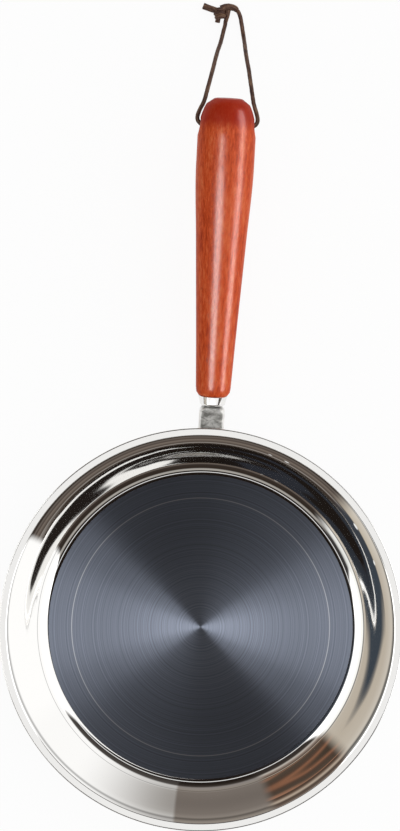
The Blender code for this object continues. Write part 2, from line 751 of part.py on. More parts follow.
def build_cord_knot(material):
    """Overhand knot of the lace: a tight lump with one wrap showing and two short tails."""
    bm = bmesh.new()
    bmesh.ops.create_uvsphere(
        bm, u_segments=KNOT_SEGMENTS, v_segments=TAIL_SEGMENTS, radius=1.0)
    bmesh.ops.scale(bm, verts=bm.verts, vec=KNOT_HALF_SIZE)
    bmesh.ops.translate(bm, verts=bm.verts, vec=KNOT_CENTRE)
    knot = link_object("cord_knot", mesh_from("cord_knot", bm), material)
    wrap_outline = arc(
        (KNOT_WRAP_RADIUS, 0.0), LACE_DIAMETER / 2.0, 0.0, 2.0 * pi - KNOT_WRAP_OPENING, KNOT_WRAP_STEPS)
    wrap = make_cutter("knot_wrap", turned_mesh("knot_wrap", wrap_outline, KNOT_SEGMENTS))
    wrap.location = KNOT_CENTRE
    wrap.rotation_euler = KNOT_WRAP_TURN
    combine(knot, wrap, "UNION")
    for name, tip in (("long_tail", LONG_TAIL_TIP), ("short_tail", SHORT_TAIL_TIP)):
        combine(knot, make_cutter(name, tail_mesh(name, tip)), "UNION")
    return knot


def main():
    """Build every piece of the pan."""
    clear_scene()
    polished_steel = make_material("polished_steel", (0.78, 0.77, 0.75), 0.08, 1.0)
    satin_steel = make_material("satin_steel", (0.55, 0.55, 0.54), 0.35, 1.0)
    bright_steel = make_material("bright_steel", (0.82, 0.81, 0.80), 0.12, 1.0)
    zinc_steel = make_material("zinc_steel", (0.45, 0.45, 0.44), 0.45, 1.0)
    aluminium = make_material("aluminium", (0.62, 0.63, 0.64), 0.4, 1.0)
    red_wood = make_material("red_wood", (0.38, 0.09, 0.03), 0.35, 0.0)
    leather = make_material("dark_leather", (0.06, 0.035, 0.025), 0.6, 0.0)

    build_pan_shell(polished_steel)
    build_base_core(aluminium)
    build_base_cap(satin_steel)
    handle_line = add_handle_line()
    build_handle_bracket(handle_line, satin_steel)
    build_lock_washer(handle_line, zinc_steel)
    build_handle_screw(handle_line, zinc_steel)
    build_ferrule(handle_line, bright_steel)
    build_wooden_handle(handle_line, red_wood)
    build_cord_loop(leather)
    build_cord_knot(leather)


main()
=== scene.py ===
"""Looks of the frying pan: mirror-buffed steel bowl, brushed floor, turned hardwood grip, leather lace.

Everything is in metres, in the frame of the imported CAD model: +Z up, the bowl's axis on Z and the
handle along +Y. Each sub-assembly is a class that builds its meshes and dresses them with a finish.
"""

import logging
from collections.abc import Callable, Sequence
from dataclasses import dataclass, field
from enum import Enum
from functools import partial
from math import atan2, cos, degrees, pi, radians, sin, sqrt
from typing import Any

import bpy
from bpy.types import Camera, Light, Material, Mesh, Node, NodeSocket, NodeTree, Object
from mathutils import Matrix, Vector


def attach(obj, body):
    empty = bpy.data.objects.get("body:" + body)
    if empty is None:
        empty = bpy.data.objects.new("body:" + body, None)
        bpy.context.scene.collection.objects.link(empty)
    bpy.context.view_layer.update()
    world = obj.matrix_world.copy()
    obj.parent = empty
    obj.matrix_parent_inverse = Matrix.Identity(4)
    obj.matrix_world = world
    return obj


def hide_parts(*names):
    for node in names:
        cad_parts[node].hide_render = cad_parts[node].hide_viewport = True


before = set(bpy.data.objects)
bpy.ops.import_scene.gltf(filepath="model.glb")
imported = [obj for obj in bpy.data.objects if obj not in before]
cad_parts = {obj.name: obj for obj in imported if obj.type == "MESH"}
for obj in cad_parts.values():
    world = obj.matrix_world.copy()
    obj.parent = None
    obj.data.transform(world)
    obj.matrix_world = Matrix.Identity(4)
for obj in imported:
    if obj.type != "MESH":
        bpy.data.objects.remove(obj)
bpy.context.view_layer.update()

Pair = tuple[float, float]
Outline = list[Pair]
Points = tuple[tuple[float, float, float], ...]
Colour = tuple[float, float, float, float]
Stops = Sequence[tuple[float, str]]
Inputs = dict[str | int, Any] | Sequence[Any]
Adder = Callable[..., Node]

MM = 0.001
RIGHT = pi / 2.0
SHARP = radians(35.0)  # an edge that turns by more than this looks sharp
SAME_PLACE = 0.001 * MM  # points closer than this are one
NOISE_LOW, NOISE_HIGH = 0.3, 0.7  # nearly all of a noise pattern lies between these
WHITE: Colour = (1.0, 1.0, 1.0, 1.0)
LOG = logging.getLogger("frying_pan")


def linear(hex_colour: str) -> Colour:
    """Turn an sRGB hex colour into the linear values that a socket takes.

    Args:
        hex_colour: the colour, written as #rrggbb.

    Returns:
        Linear red, green and blue, with an alpha of 1.
    """
    channels = [int(hex_colour[at:at + 2], 16) / 255.0 for at in (1, 3, 5)]
    turned = [c / 12.92 if c <= 0.04045 else ((c + 0.055) / 1.055) ** 2.4 for c in channels]
    return (turned[0], turned[1], turned[2], 1.0)


def feed(node: Node, inputs: Inputs) -> None:
    """Set or link inputs of a node.

    Args:
        node: the node.
        inputs: for an input's name or number, or for each one in order, a value, the socket that
            feeds it, or the node whose first output in use does.
    """
    for key, value in inputs.items() if isinstance(inputs, dict) else enumerate(inputs):
        if isinstance(value, Node):
            value = next(output for output in value.outputs if output.enabled)
        if isinstance(value, NodeSocket):
            node.id_data.links.new(value, node.inputs[key])
        else:
            node.inputs[key].default_value = value


def add_node(tree: NodeTree, kind: str, inputs: Inputs = (), stops: Stops = (), **settings: Any) -> Node:
    """Add a node with its settings and links.

    Args:
        tree: node tree that gets the node.
        kind: Blender's type name for the node.
        inputs: what its inputs get, as feed takes it.
        stops: position and hex colour of each stop, where the node is a colour ramp.
        settings: property values by name.

    Returns:
        The new node.
    """
    node = tree.nodes.new(kind)
    for name, value in settings.items():
        setattr(node, name, value)
    feed(node, inputs)
    if stops:
        elements = node.color_ramp.elements
        while len(elements) < len(stops):
            elements.new(1.0)
        for element, (place, colour) in zip(elements, stops):
            element.position = place
            element.color = linear(colour)
    return node


def start_material(name: str) -> tuple[Material, Adder, Node]:
    """Make a node material.

    Args:
        name: the material's name.

    Returns:
        The material, the function that adds a node to it, and its Principled shader.
    """
    material = bpy.data.materials.new(name)
    material.use_nodes = True
    tree = material.node_tree
    return material, partial(add_node, tree), tree.nodes["Principled BSDF"]


def from_axis(add: Adder, place: NodeSocket | Node) -> Node:
    """Add the nodes that measure how far a place is from the Z axis."""
    flat = add("ShaderNodeVectorMath", [place, (1.0, 1.0, 0.0)], operation="MULTIPLY")
    return add("ShaderNodeVectorMath", [flat], operation="LENGTH")


def show(name: str, data: Mesh | Camera | Light) -> Object:
    """Put a mesh, a camera or a lamp in the scene.

    Args:
        name: name of the new object.
        data: what it shows.

    Returns:
        The object.
    """
    item = bpy.data.objects.new(name, data)
    bpy.context.scene.collection.objects.link(item)
    return item


def arc(centre: Pair, radius: float, start: float, end: float, step: float = 2.5) -> Outline:
    """Points of a circular arc in an outline's plane.

    Args:
        centre: the arc's centre.
        radius: the arc's radius.
        start: angle of the first point, in radians.
        end: angle of the last point, in radians.
        step: largest angle between two points, in degrees.

    Returns:
        The points from start to end.
    """
    count = max(2, round(abs(degrees(end - start)) / step))
    angles = [start + (end - start) * index / count for index in range(count + 1)]
    return [(centre[0] + radius * cos(angle), centre[1] + radius * sin(angle)) for angle in angles]


def evenly(points: Outline, spacing: float) -> Outline:
    """Add points on the long straight parts of an outline.

    Args:
        points: the outline.
        spacing: about how far apart its points may be.

    Returns:
        The outline with the added points.
    """
    filled = [points[0]]
    for (r0, z0), (r1, z1) in zip(points, points[1:]):
        count = max(1, round(sqrt((r1 - r0) ** 2 + (z1 - z0) ** 2) / spacing))
        for index in range(1, count + 1):
            filled.append((r0 + (r1 - r0) * index / count, z0 + (z1 - z0) * index / count))
    return filled


def chain_mesh(name: str, chains: list[list[Vector]], thickness: Sequence[Pair] = ()) -> Mesh:
    """Make a mesh of open chains of edges, which the trees below turn or sweep.

    Args:
        name: name of the mesh.
        chains: the points of each chain.
        thickness: each chain's thickness at its start and its end, as a share of the usual one.

    Returns:
        The mesh, with the thickness as an attribute of its points.
    """
    places: list[Vector] = []
    edges: list[tuple[int, int]] = []
    shares: list[float] = []
    for chain, (start, end) in zip(chains, thickness or [(1.0, 1.0)] * len(chains)):
        first, last = len(places), len(chain) - 1
        places.extend(chain)
        edges.extend((first + index, first + index + 1) for index in range(last))
        shares.extend(start + (end - start) * index / last for index in range(len(chain)))
    mesh = bpy.data.meshes.new(name)
    mesh.from_pydata(places, edges, [])
    mesh.attributes.new("thickness", "FLOAT", "POINT").data.foreach_set("value", shares)
    return mesh


class ShapeTree:
    """A Geometry Nodes tree with named inputs, run once on a mesh to make a plain mesh."""

    def __init__(self, name: str, inputs: dict[str, str]) -> None:
        """Start a tree that takes a geometry and returns one.

        Args:
            name: name of the tree.
            inputs: socket type, such as Float, Int or Material, for the name of each further input.
        """
        self.tree = bpy.data.node_groups.new(name, "GeometryNodeTree")
        sockets = self.tree.interface
        sockets.new_socket("Geometry", in_out="INPUT", socket_type="NodeSocketGeometry")
        sockets.new_socket("Geometry", in_out="OUTPUT", socket_type="NodeSocketGeometry")
        self.names = {
            label: sockets.new_socket(label, in_out="INPUT", socket_type="NodeSocket" + kind).identifier
            for label, kind in inputs.items()}
        self.add = partial(add_node, self.tree)
        self.given = self.add("NodeGroupInput").outputs

    def finish(self, shape: Node, dressings: list[dict[str, NodeSocket | Node]]) -> None:
        """End the tree in Realize Instances and Set Material.

        Args:
            shape: node that gives the finished shape.
            dressings: the inputs of each Set Material node, in order.
        """
        shape = self.add("GeometryNodeRealizeInstances", [shape])
        for dressing in dressings:
            shape = self.add("GeometryNodeSetMaterial", {"Geometry": shape, **dressing})
        self.add("NodeGroupOutput", [shape])

    def run(self, name: str, mesh: Mesh, values: dict[str, Any]) -> Object:
        """Run the tree on a mesh and return the result as a plain object.

        Args:
            name: name of the finished object.
            mesh: mesh that the tree starts from.
            values: value of each named input.

        Returns:
            The object, with no modifier left on it.
        """
        host = show(name + "_host", mesh)
        modifier = host.modifiers.new("shape", "NODES")
        modifier.node_group = self.tree
        for label, value in values.items():
            modifier[self.names[label]] = value
        made = bpy.data.meshes.new_from_object(host.evaluated_get(bpy.context.evaluated_depsgraph_get()))
        made.name = name
        bpy.data.objects.remove(host)
        return show(name, made)


class TurningTree(ShapeTree):
    """Turns an outline of (radius, 0, height) points round Z, as metal is spun and wood is turned."""

    def __init__(self) -> None:
        """Build the tree: a grid whose columns are the outline, each turned by its share of the circle."""
        super().__init__("turned_round_axis", {
            "Segments": "Int", "Finish": "Material", "Floor finish": "Material", "Floor radius": "Float"})
        add, given = self.add, self.given
        size = add("GeometryNodeAttributeDomainSize", [given["Geometry"]])
        points = size.outputs["Point Count"]
        columns = add("ShaderNodeMath", [given["Segments"], 1.0], operation="ADD")
        grid = add("GeometryNodeMeshGrid", {"Vertices X": columns, "Vertices Y": points})
        index = add("GeometryNodeInputIndex")
        half = add("ShaderNodeMath", [index, 0.5], operation="ADD")
        share = add("ShaderNodeMath", [half, points], operation="DIVIDE")
        column = add("ShaderNodeMath", [share], operation="FLOOR")
        before = add("ShaderNodeMath", [column, points], operation="MULTIPLY")
        row = add("ShaderNodeMath", [index, before], operation="SUBTRACT")
        place = add("GeometryNodeInputPosition")
        outline = add(
            "GeometryNodeSampleIndex", {"Geometry": given["Geometry"], "Value": place, "Index": row},
            data_type="FLOAT_VECTOR", domain="POINT")
        turn = add("ShaderNodeMath", [column, given["Segments"]], operation="DIVIDE")
        angle = add("ShaderNodeMath", [turn, 2.0 * pi], operation="MULTIPLY")
        turned = add("ShaderNodeVectorRotate", {"Vector": outline, "Angle": angle}, rotation_type="Z_AXIS")
        placed = add("GeometryNodeSetPosition", {"Geometry": grid, "Position": turned})
        closed = add("GeometryNodeMergeByDistance", {"Geometry": placed, "Distance": SAME_PLACE})
        inside = add("ShaderNodeMath", [from_axis(add, place), given["Floor radius"]], operation="LESS_THAN")
        lean = add("ShaderNodeSeparateXYZ", [add("GeometryNodeInputNormal")])
        upper = add("ShaderNodeMath", [lean.outputs["Z"], 0.0], operation="GREATER_THAN")
        on_floor = add("ShaderNodeMath", [inside, upper], operation="MULTIPLY")
        self.finish(closed, [
            {"Material": given["Finish"]}, {"Selection": on_floor, "Material": given["Floor finish"]}])

    def turn(
        self, name: str, outline: Outline, segments: int, finish: Material,
        floor_finish: Material | None = None, floor_radius: float = 0.0, place: Matrix | None = None,
    ) -> Object:
        """Turn an outline into a closed piece.

        Args:
            name: name of the piece.
            outline: (radius, height) points, anticlockwise, closed or with both ends on the axis.
            segments: number of steps round the axis.
            finish: material of the piece.
            floor_finish: material of its upward faces inside the floor radius.
            floor_radius: how far from the axis that material reaches.
            place: where the finished piece stands, baked into its mesh.

        Returns:
            The piece, with smooth round faces and sharp edges.
        """
        chain = [Vector((radius, 0.0, height)) for radius, height in outline]
        item = self.run(name, chain_mesh(name, [chain]), {
            "Segments": segments, "Finish": finish, "Floor finish": floor_finish or finish,
            "Floor radius": floor_radius})
        if place is not None:
            item.data.transform(place)
        item.data.shade_smooth()
        item.data.set_sharp_from_angle(angle=SHARP)
        return item


class SweepTree(ShapeTree):
    """Sweeps a round strip of leather along open chains, with the small creases of cut hide."""

    SIDES = 16
    CREASE_HEIGHT = 0.35 * MM
    CREASES_PER_METRE = 420.0

    def __init__(self) -> None:
        """Build the tree: chains to curves, a ring along each, then creases along the normal."""
        super().__init__("leather_along_route", {
            "Diameter": "Float", "Sides": "Int", "Crease height": "Float", "Creases per metre": "Float",
            "Finish": "Material"})
        add, given = self.add, self.given
        route = add("GeometryNodeMeshToCurve", [given["Geometry"]])
        along = add("GeometryNodeSplineParameter").outputs["Length"]
        measured = add(
            "GeometryNodeStoreNamedAttribute", {"Geometry": route, "Name": "along", "Value": along},
            data_type="FLOAT", domain="POINT")
        share = add("GeometryNodeInputNamedAttribute", {"Name": "thickness"}, data_type="FLOAT")
        radius = add("ShaderNodeMath", [given["Diameter"], 0.5], operation="MULTIPLY")
        ring = add(
            "GeometryNodeCurvePrimitiveCircle", {"Resolution": given["Sides"], "Radius": radius},
            mode="RADIUS")
        place = add("GeometryNodeInputPosition")
        unit = add("ShaderNodeVectorMath", [place], operation="NORMALIZE")
        marked = add(
            "GeometryNodeStoreNamedAttribute", {"Geometry": ring, "Name": "ring", "Value": unit},
            data_type="FLOAT_VECTOR", domain="POINT")
        swept = add("GeometryNodeCurveToMesh", {
            "Curve": measured, "Profile Curve": marked, "Scale": share.outputs["Attribute"],
            "Fill Caps": True})
        creases = add(
            "ShaderNodeTexNoise",
            {"Vector": place, "Scale": given["Creases per metre"], "Detail": 3.0, "Roughness": 0.6},
            noise_dimensions="3D")
        level = add("ShaderNodeMath", [creases, 0.5], operation="SUBTRACT")
        height = add("ShaderNodeMath", [level, given["Crease height"]], operation="MULTIPLY")
        offset = add(
            "ShaderNodeVectorMath", {0: add("GeometryNodeInputNormal"), "Scale": height}, operation="SCALE")
        creased = add("GeometryNodeSetPosition", {"Geometry": swept, "Offset": offset})
        self.finish(creased, [{"Material": given["Finish"]}])

    def sweep(
        self, name: str, chains: list[list[Vector]], diameter: float, finish: Material,
        thickness: Sequence[Pair] = (),
    ) -> Object:
        """Sweep a lace along each chain.

        Args:
            name: name of the piece.
            chains: points that each length of lace follows.
            diameter: the lace's diameter.
            finish: its leather.
            thickness: each chain's thickness at its start and its end, as a share of the diameter.

        Returns:
            The piece.
        """
        item = self.run(name, chain_mesh(name, chains, thickness), {
            "Diameter": diameter, "Sides": self.SIDES, "Crease height": self.CREASE_HEIGHT,
            "Creases per metre": self.CREASES_PER_METRE, "Finish": finish})
        item.data.shade_smooth()
        return item


@dataclass(frozen=True)
class BuffedSteel:
    """18/10 stainless steel, drawn and then buffed with a wheel: a mirror with faint haze rings."""

    name: str = "stainless_steel_buffed"
    colour: str = "#efeeec"
    roughness: float = 0.02
    haze: float = 0.012
    ring_pitch: float = 0.8 * MM
    smear_length: float = 30.0 * MM
    haze_from: float = 0.1
    haze_to: float = 0.5
    wave_length: float = 28.0 * MM
    wave_height: float = 0.05 * MM

    def material(self) -> Material:
        """Build the node material.

        Returns:
            The material.
        """
        material, add, shader = start_material(self.name)
        spot = add("ShaderNodeTexCoord").outputs["Object"]
        rings = add(
            "ShaderNodeTexNoise", {"W": from_axis(add, spot), "Scale": 1.0 / self.ring_pitch, "Detail": 2.0},
            noise_dimensions="1D")
        smears = add("ShaderNodeTexNoise", {"Vector": spot, "Scale": 1.0 / self.smear_length, "Detail": 3.0})
        both = add("ShaderNodeMath", [rings, smears], operation="MULTIPLY")
        rough = add("ShaderNodeMapRange", [
            both, self.haze_from, self.haze_to, self.roughness, self.roughness + self.haze])
        waves = add("ShaderNodeTexNoise", {"Vector": spot, "Scale": 1.0 / self.wave_length, "Detail": 1.0})
        bump = add("ShaderNodeBump", {"Strength": 1.0, "Distance": self.wave_height, "Height": waves})
        feed(shader, {
            "Metallic": 1.0, "Base Color": linear(self.colour), "Roughness": rough, "Normal": bump})
        return material


@dataclass(frozen=True)
class SpunBrushedSteel:
    """The same steel brushed while it spins: fine rings that stretch each light into two fans."""

    name: str = "stainless_steel_spun_brushed"
    colour_low: str = "#646973"
    colour_high: str = "#7d8391"
    roughness: float = 0.31
    roughness_spread: float = 0.02
    # Painted sheen: the floor's colour is lifted by this gain towards the middle.
    middle_gain: float = 1.55
    middle_to: float = 62.0 * MM
    line_pitch: float = 0.9 * MM
    # Painted highlight: a thin bright ring of this colour at this radius.
    print_colour: str = "#d8d8da"
    print_share: float = 0.5
    print_radius: float = 78.1 * MM
    print_width: float = 0.45 * MM

    def material(self) -> Material:
        """Build the node material. Its line pitch is coarser than the real 0.1 mm, so that it shows.

        Returns:
            The material.
        """
        material, add, shader = start_material(self.name)
        radius = from_axis(add, add("ShaderNodeTexCoord").outputs["Object"])
        lines = add(
            "ShaderNodeTexNoise",
            {"W": radius, "Scale": 1.0 / self.line_pitch, "Detail": 4.0, "Roughness": 0.75},
            noise_dimensions="1D")
        tint = add(
            "ShaderNodeValToRGB", [lines], [(NOISE_LOW, self.colour_low), (NOISE_HIGH, self.colour_high)])
        # Painted sheen: the floor's colour is lifted towards the middle.
        gain = add(
            "ShaderNodeMapRange", [radius, 0.0, self.middle_to, self.middle_gain, 1.0],
            interpolation_type="SMOOTHSTEP")
        sheened = add("ShaderNodeVectorMath", {0: tint, "Scale": gain}, operation="SCALE")
        # Painted highlight: a thin bright ring over the edge of the bonded core below.
        away = add("ShaderNodeMath", [radius, self.print_radius], operation="SUBTRACT")
        apart = add("ShaderNodeMath", [away], operation="ABSOLUTE")
        line = add(
            "ShaderNodeMapRange", [apart, self.print_width, 0.0, 0.0, self.print_share],
            interpolation_type="SMOOTHSTEP")
        groove_highlit = add(
            "ShaderNodeMix", {0: line, 6: sheened, 7: linear(self.print_colour)}, data_type="RGBA")
        rough = add("ShaderNodeMapRange", [
            lines, NOISE_LOW, NOISE_HIGH, self.roughness - self.roughness_spread,
            self.roughness + self.roughness_spread])
        tangent = add("ShaderNodeTangent", direction_type="RADIAL", axis="Z")
        feed(shader, {
            "Metallic": 1.0, "Anisotropic": 1.0, "Anisotropic Rotation": 0.25, "Base Color": groove_highlit,
            "Roughness": rough, "Tangent": tangent})
        return material


@dataclass(frozen=True)
class TumbledSteel:
    """Stamped steel sheet, tumbled after bending: grey and grainy, with smudges where the drum rubbed."""

    name: str = "stainless_steel_tumbled"
    colour_low: str = "#888783"
    colour_high: str = "#eae9e6"
    # Painted highlight: the bends are lightened towards this colour.
    burnished: str = "#fbfaf8"
    roughness: float = 0.48
    rougher: float = 0.12
    smoother: float = 0.06
    smudge: float = 3.4 * MM
    smudge_shape: tuple[float, float, float] = (0.55, 1.0, 1.0)
    grain: float = 0.7 * MM
    grain_height: float = 0.06 * MM
    bend_from: float = 5.9 * MM
    bend_to: float = 6.9 * MM
    bend_share: float = 0.85

    def material(self) -> Material:
        """Build the node material.

        Returns:
            The material.
        """
        material, add, shader = start_material(self.name)
        spot = add("ShaderNodeTexCoord").outputs["Object"]
        wide = add("ShaderNodeVectorMath", [spot, self.smudge_shape], operation="MULTIPLY")
        smudges = add("ShaderNodeTexNoise", {
            "Vector": wide, "Scale": 1.0 / self.smudge, "Detail": 4.0, "Roughness": 0.65,
            "Distortion": 0.6})
        tint = add("ShaderNodeValToRGB", [smudges], [(0.36, self.colour_low), (0.64, self.colour_high)])
        # Painted highlight: the two rounded bends are lighter than the sheet between them.
        across = add("ShaderNodeSeparateXYZ", [spot]).outputs["X"]
        reach = add("ShaderNodeMath", [across], operation="ABSOLUTE")
        bend_highlight = add("ShaderNodeMapRange", [reach, self.bend_from, self.bend_to, 0.0, self.bend_share])
        highlit_bends = add("ShaderNodeMix", {0: bend_highlight, 6: tint, 7: linear(self.burnished)}, data_type="RGBA")
        grains = add("ShaderNodeTexNoise", {"Vector": spot, "Scale": 1.0 / self.grain, "Detail": 2.0})
        rough = add("ShaderNodeMapRange", [
            smudges, NOISE_LOW, NOISE_HIGH, self.roughness + self.rougher, self.roughness - self.smoother])
        bump = add("ShaderNodeBump", {"Strength": 0.35, "Distance": self.grain_height, "Height": grains})
        feed(shader, {"Metallic": 1.0, "Base Color": highlit_bends, "Roughness": rough, "Normal": bump})
        return material


@dataclass(frozen=True)
class LacqueredHardwood:
    """Red hardwood, turned, sanded, stained and lacquered: long grain, open pores and a wet gloss."""

    name: str = "hardwood_turned_lacquered"
    dark: str = "#9c2e0e"
    middle: str = "#cd5024"
    light: str = "#dd7446"
    pore: str = "#7a2812"
    butt: str = "#9c1e08"
    roughness: float = 0.42
    specular: float = 0.02
    lacquer: float = 0.2
    lacquer_ior: float = 1.32
    lacquer_roughness: float = 0.2
    rise: float = radians(10.0)
    figure: Pair = (5.0 * MM, 55.0 * MM)
    grain: Pair = (1.2 * MM, 6.0 * MM)
    pores: Pair = (0.5 * MM, 2.6 * MM)
    fine_share: float = 0.6
    pore_from: float = 0.62
    pore_to: float = 0.72
    pore_share: float = 0.35
    relief: float = 0.12 * MM
    butt_from: float = 300.0 * MM
    butt_to: float = 308.0 * MM
    butt_share: float = 0.85

    def material(self) -> Material:
        """Build the node material. Its pattern is turned to run along the rising handle.

        Returns:
            The material.
        """
        material, add, shader = start_material(self.name)
        grained = add(
            "ShaderNodeMapping",
            {"Vector": add("ShaderNodeTexCoord").outputs["Object"], "Rotation": (-self.rise, 0.0, 0.0)},
            vector_type="POINT")
        layers = []
        for (width, length), detail in (
                (self.figure, {"Detail": 3.0, "Distortion": 0.4}),
                (self.grain, {"Detail": 4.0, "Roughness": 0.7}),
                (self.pores, {"Detail": 1.0})):
            cells = add("ShaderNodeVectorMath", [grained, (width, length, width)], operation="DIVIDE")
            layers.append(add("ShaderNodeTexNoise", {"Vector": cells, "Scale": 1.0, **detail}))
        figure, fine, pores = layers
        blend = add("ShaderNodeMix", {0: self.fine_share, 2: figure, 3: fine}, data_type="FLOAT")
        tint = add(
            "ShaderNodeValToRGB", [blend], [(0.33, self.dark), (0.5, self.middle), (0.66, self.light)])
        open_pore = add("ShaderNodeMapRange", [pores, self.pore_from, self.pore_to, 0.0, self.pore_share])
        pored = add("ShaderNodeMix", {0: open_pore, 6: tint, 7: linear(self.pore)}, data_type="RGBA")
        along = add("ShaderNodeSeparateXYZ", [grained]).outputs["Y"]
        stain = add(
            "ShaderNodeMapRange", [along, self.butt_from, self.butt_to, 0.0, self.butt_share],
            interpolation_type="SMOOTHSTEP")
        stained = add("ShaderNodeMix", {0: stain, 6: pored, 7: linear(self.butt)}, data_type="RGBA")
        relief = add("ShaderNodeMath", [fine, open_pore], operation="SUBTRACT")
        # The lacquer fills the short end grain of the butt, so its relief fades out there.
        filled = add("ShaderNodeMapRange", [along, self.butt_from, self.butt_to, 1.0, 0.0])
        level = add("ShaderNodeMath", [relief, filled], operation="MULTIPLY")
        bump = add("ShaderNodeBump", {"Strength": 0.5, "Distance": self.relief, "Height": level})
        feed(shader, {
            "Roughness": self.roughness, "Specular IOR Level": self.specular, "Coat Weight": self.lacquer,
            "Coat IOR": self.lacquer_ior, "Coat Roughness": self.lacquer_roughness,
            "Base Color": stained, "Normal": bump, "Coat Normal": bump})
        return material


@dataclass(frozen=True)
class CutLeather:
    """Vegetable-tanned cowhide, cut to a round lace and waxed: dark, with paler rubbed streaks."""

    name: str = "cowhide_cut_waxed"
    dark: str = "#33201c"
    middle: str = "#583d30"
    rubbed: str = "#8c6f56"
    roughness: float = 0.62
    specular: float = 0.3
    streak: float = 11.0 * MM
    streaks_across: float = 1.6
    hair_cell: float = 0.5 * MM
    hair_depth: float = 0.08 * MM

    def material(self) -> Material:
        """Build the node material on the lace's own ring and length.

        Returns:
            The material.
        """
        material, add, shader = start_material(self.name)
        ring = add("ShaderNodeAttribute", attribute_name="ring").outputs["Vector"]
        along = add("ShaderNodeAttribute", attribute_name="along").outputs["Fac"]
        length = add("ShaderNodeMath", [along, self.streak], operation="DIVIDE")
        shift = add("ShaderNodeCombineXYZ", {"Z": length})
        lay = add("ShaderNodeVectorMath", [ring, shift], operation="ADD")
        streaks = add("ShaderNodeTexNoise", {
            "Vector": lay, "Scale": self.streaks_across, "Detail": 4.0, "Roughness": 0.65})
        tint = add(
            "ShaderNodeValToRGB", [streaks], [(0.35, self.dark), (0.52, self.middle), (0.72, self.rubbed)])
        grain = add(
            "ShaderNodeTexVoronoi",
            {"Vector": add("ShaderNodeTexCoord").outputs["Object"], "Scale": 1.0 / self.hair_cell},
            feature="DISTANCE_TO_EDGE")
        bump = add("ShaderNodeBump", {
            "Strength": 0.4, "Distance": self.hair_depth, "Height": grain.outputs["Distance"]})
        feed(shader, {
            "Roughness": self.roughness, "Specular IOR Level": self.specular, "Base Color": tint,
            "Normal": bump})
        return material


@dataclass(frozen=True)
class PlainMetal:
    """A small metal part's surface: one colour with fine grain in its gloss."""

    name: str
    colour_low: str
    colour_high: str
    roughness: float
    unevenness: float = 0.2
    grain: float = 1.5 * MM

    def material(self) -> Material:
        """Build the node material.

        Returns:
            The material.
        """
        material, add, shader = start_material(self.name)
        spot = add("ShaderNodeTexCoord").outputs["Object"]
        mottle = add("ShaderNodeTexNoise", {"Vector": spot, "Scale": 1.0 / self.grain, "Detail": 3.0})
        tint = add("ShaderNodeValToRGB", [mottle], [(0.35, self.colour_low), (0.65, self.colour_high)])
        rough = add("ShaderNodeMapRange", [
            mottle, NOISE_LOW, NOISE_HIGH, (1.0 - self.unevenness) * self.roughness,
            (1.0 + self.unevenness) * self.roughness])
        feed(shader, {"Metallic": 1.0, "Base Color": tint, "Roughness": rough})
        return material


@dataclass
class StudioCamera:
    """The camera straight over the pan, turned so that the handle leans as in the photograph."""

    place: Vector = field(default_factory=lambda: Vector((-0.00706, 0.12785, 1.5259)))
    roll: float = radians(3.0)
    long_side_pixels: float = 831.0
    focal_pixels: float = 2507.5
    sensor: float = 36.0
    nearest: float = 0.1
    farthest: float = 20.0

    def build(self) -> None:
        """Make the camera and give it to the scene."""
        data = bpy.data.cameras.new("studio_camera")
        data.sensor_width = self.sensor
        data.lens = self.focal_pixels * self.sensor / self.long_side_pixels
        data.clip_start = self.nearest
        data.clip_end = self.farthest
        item = show("studio_camera", data)
        item.location = self.place
        item.rotation_euler = (0.0, 0.0, self.roll)
        bpy.context.scene.camera = item


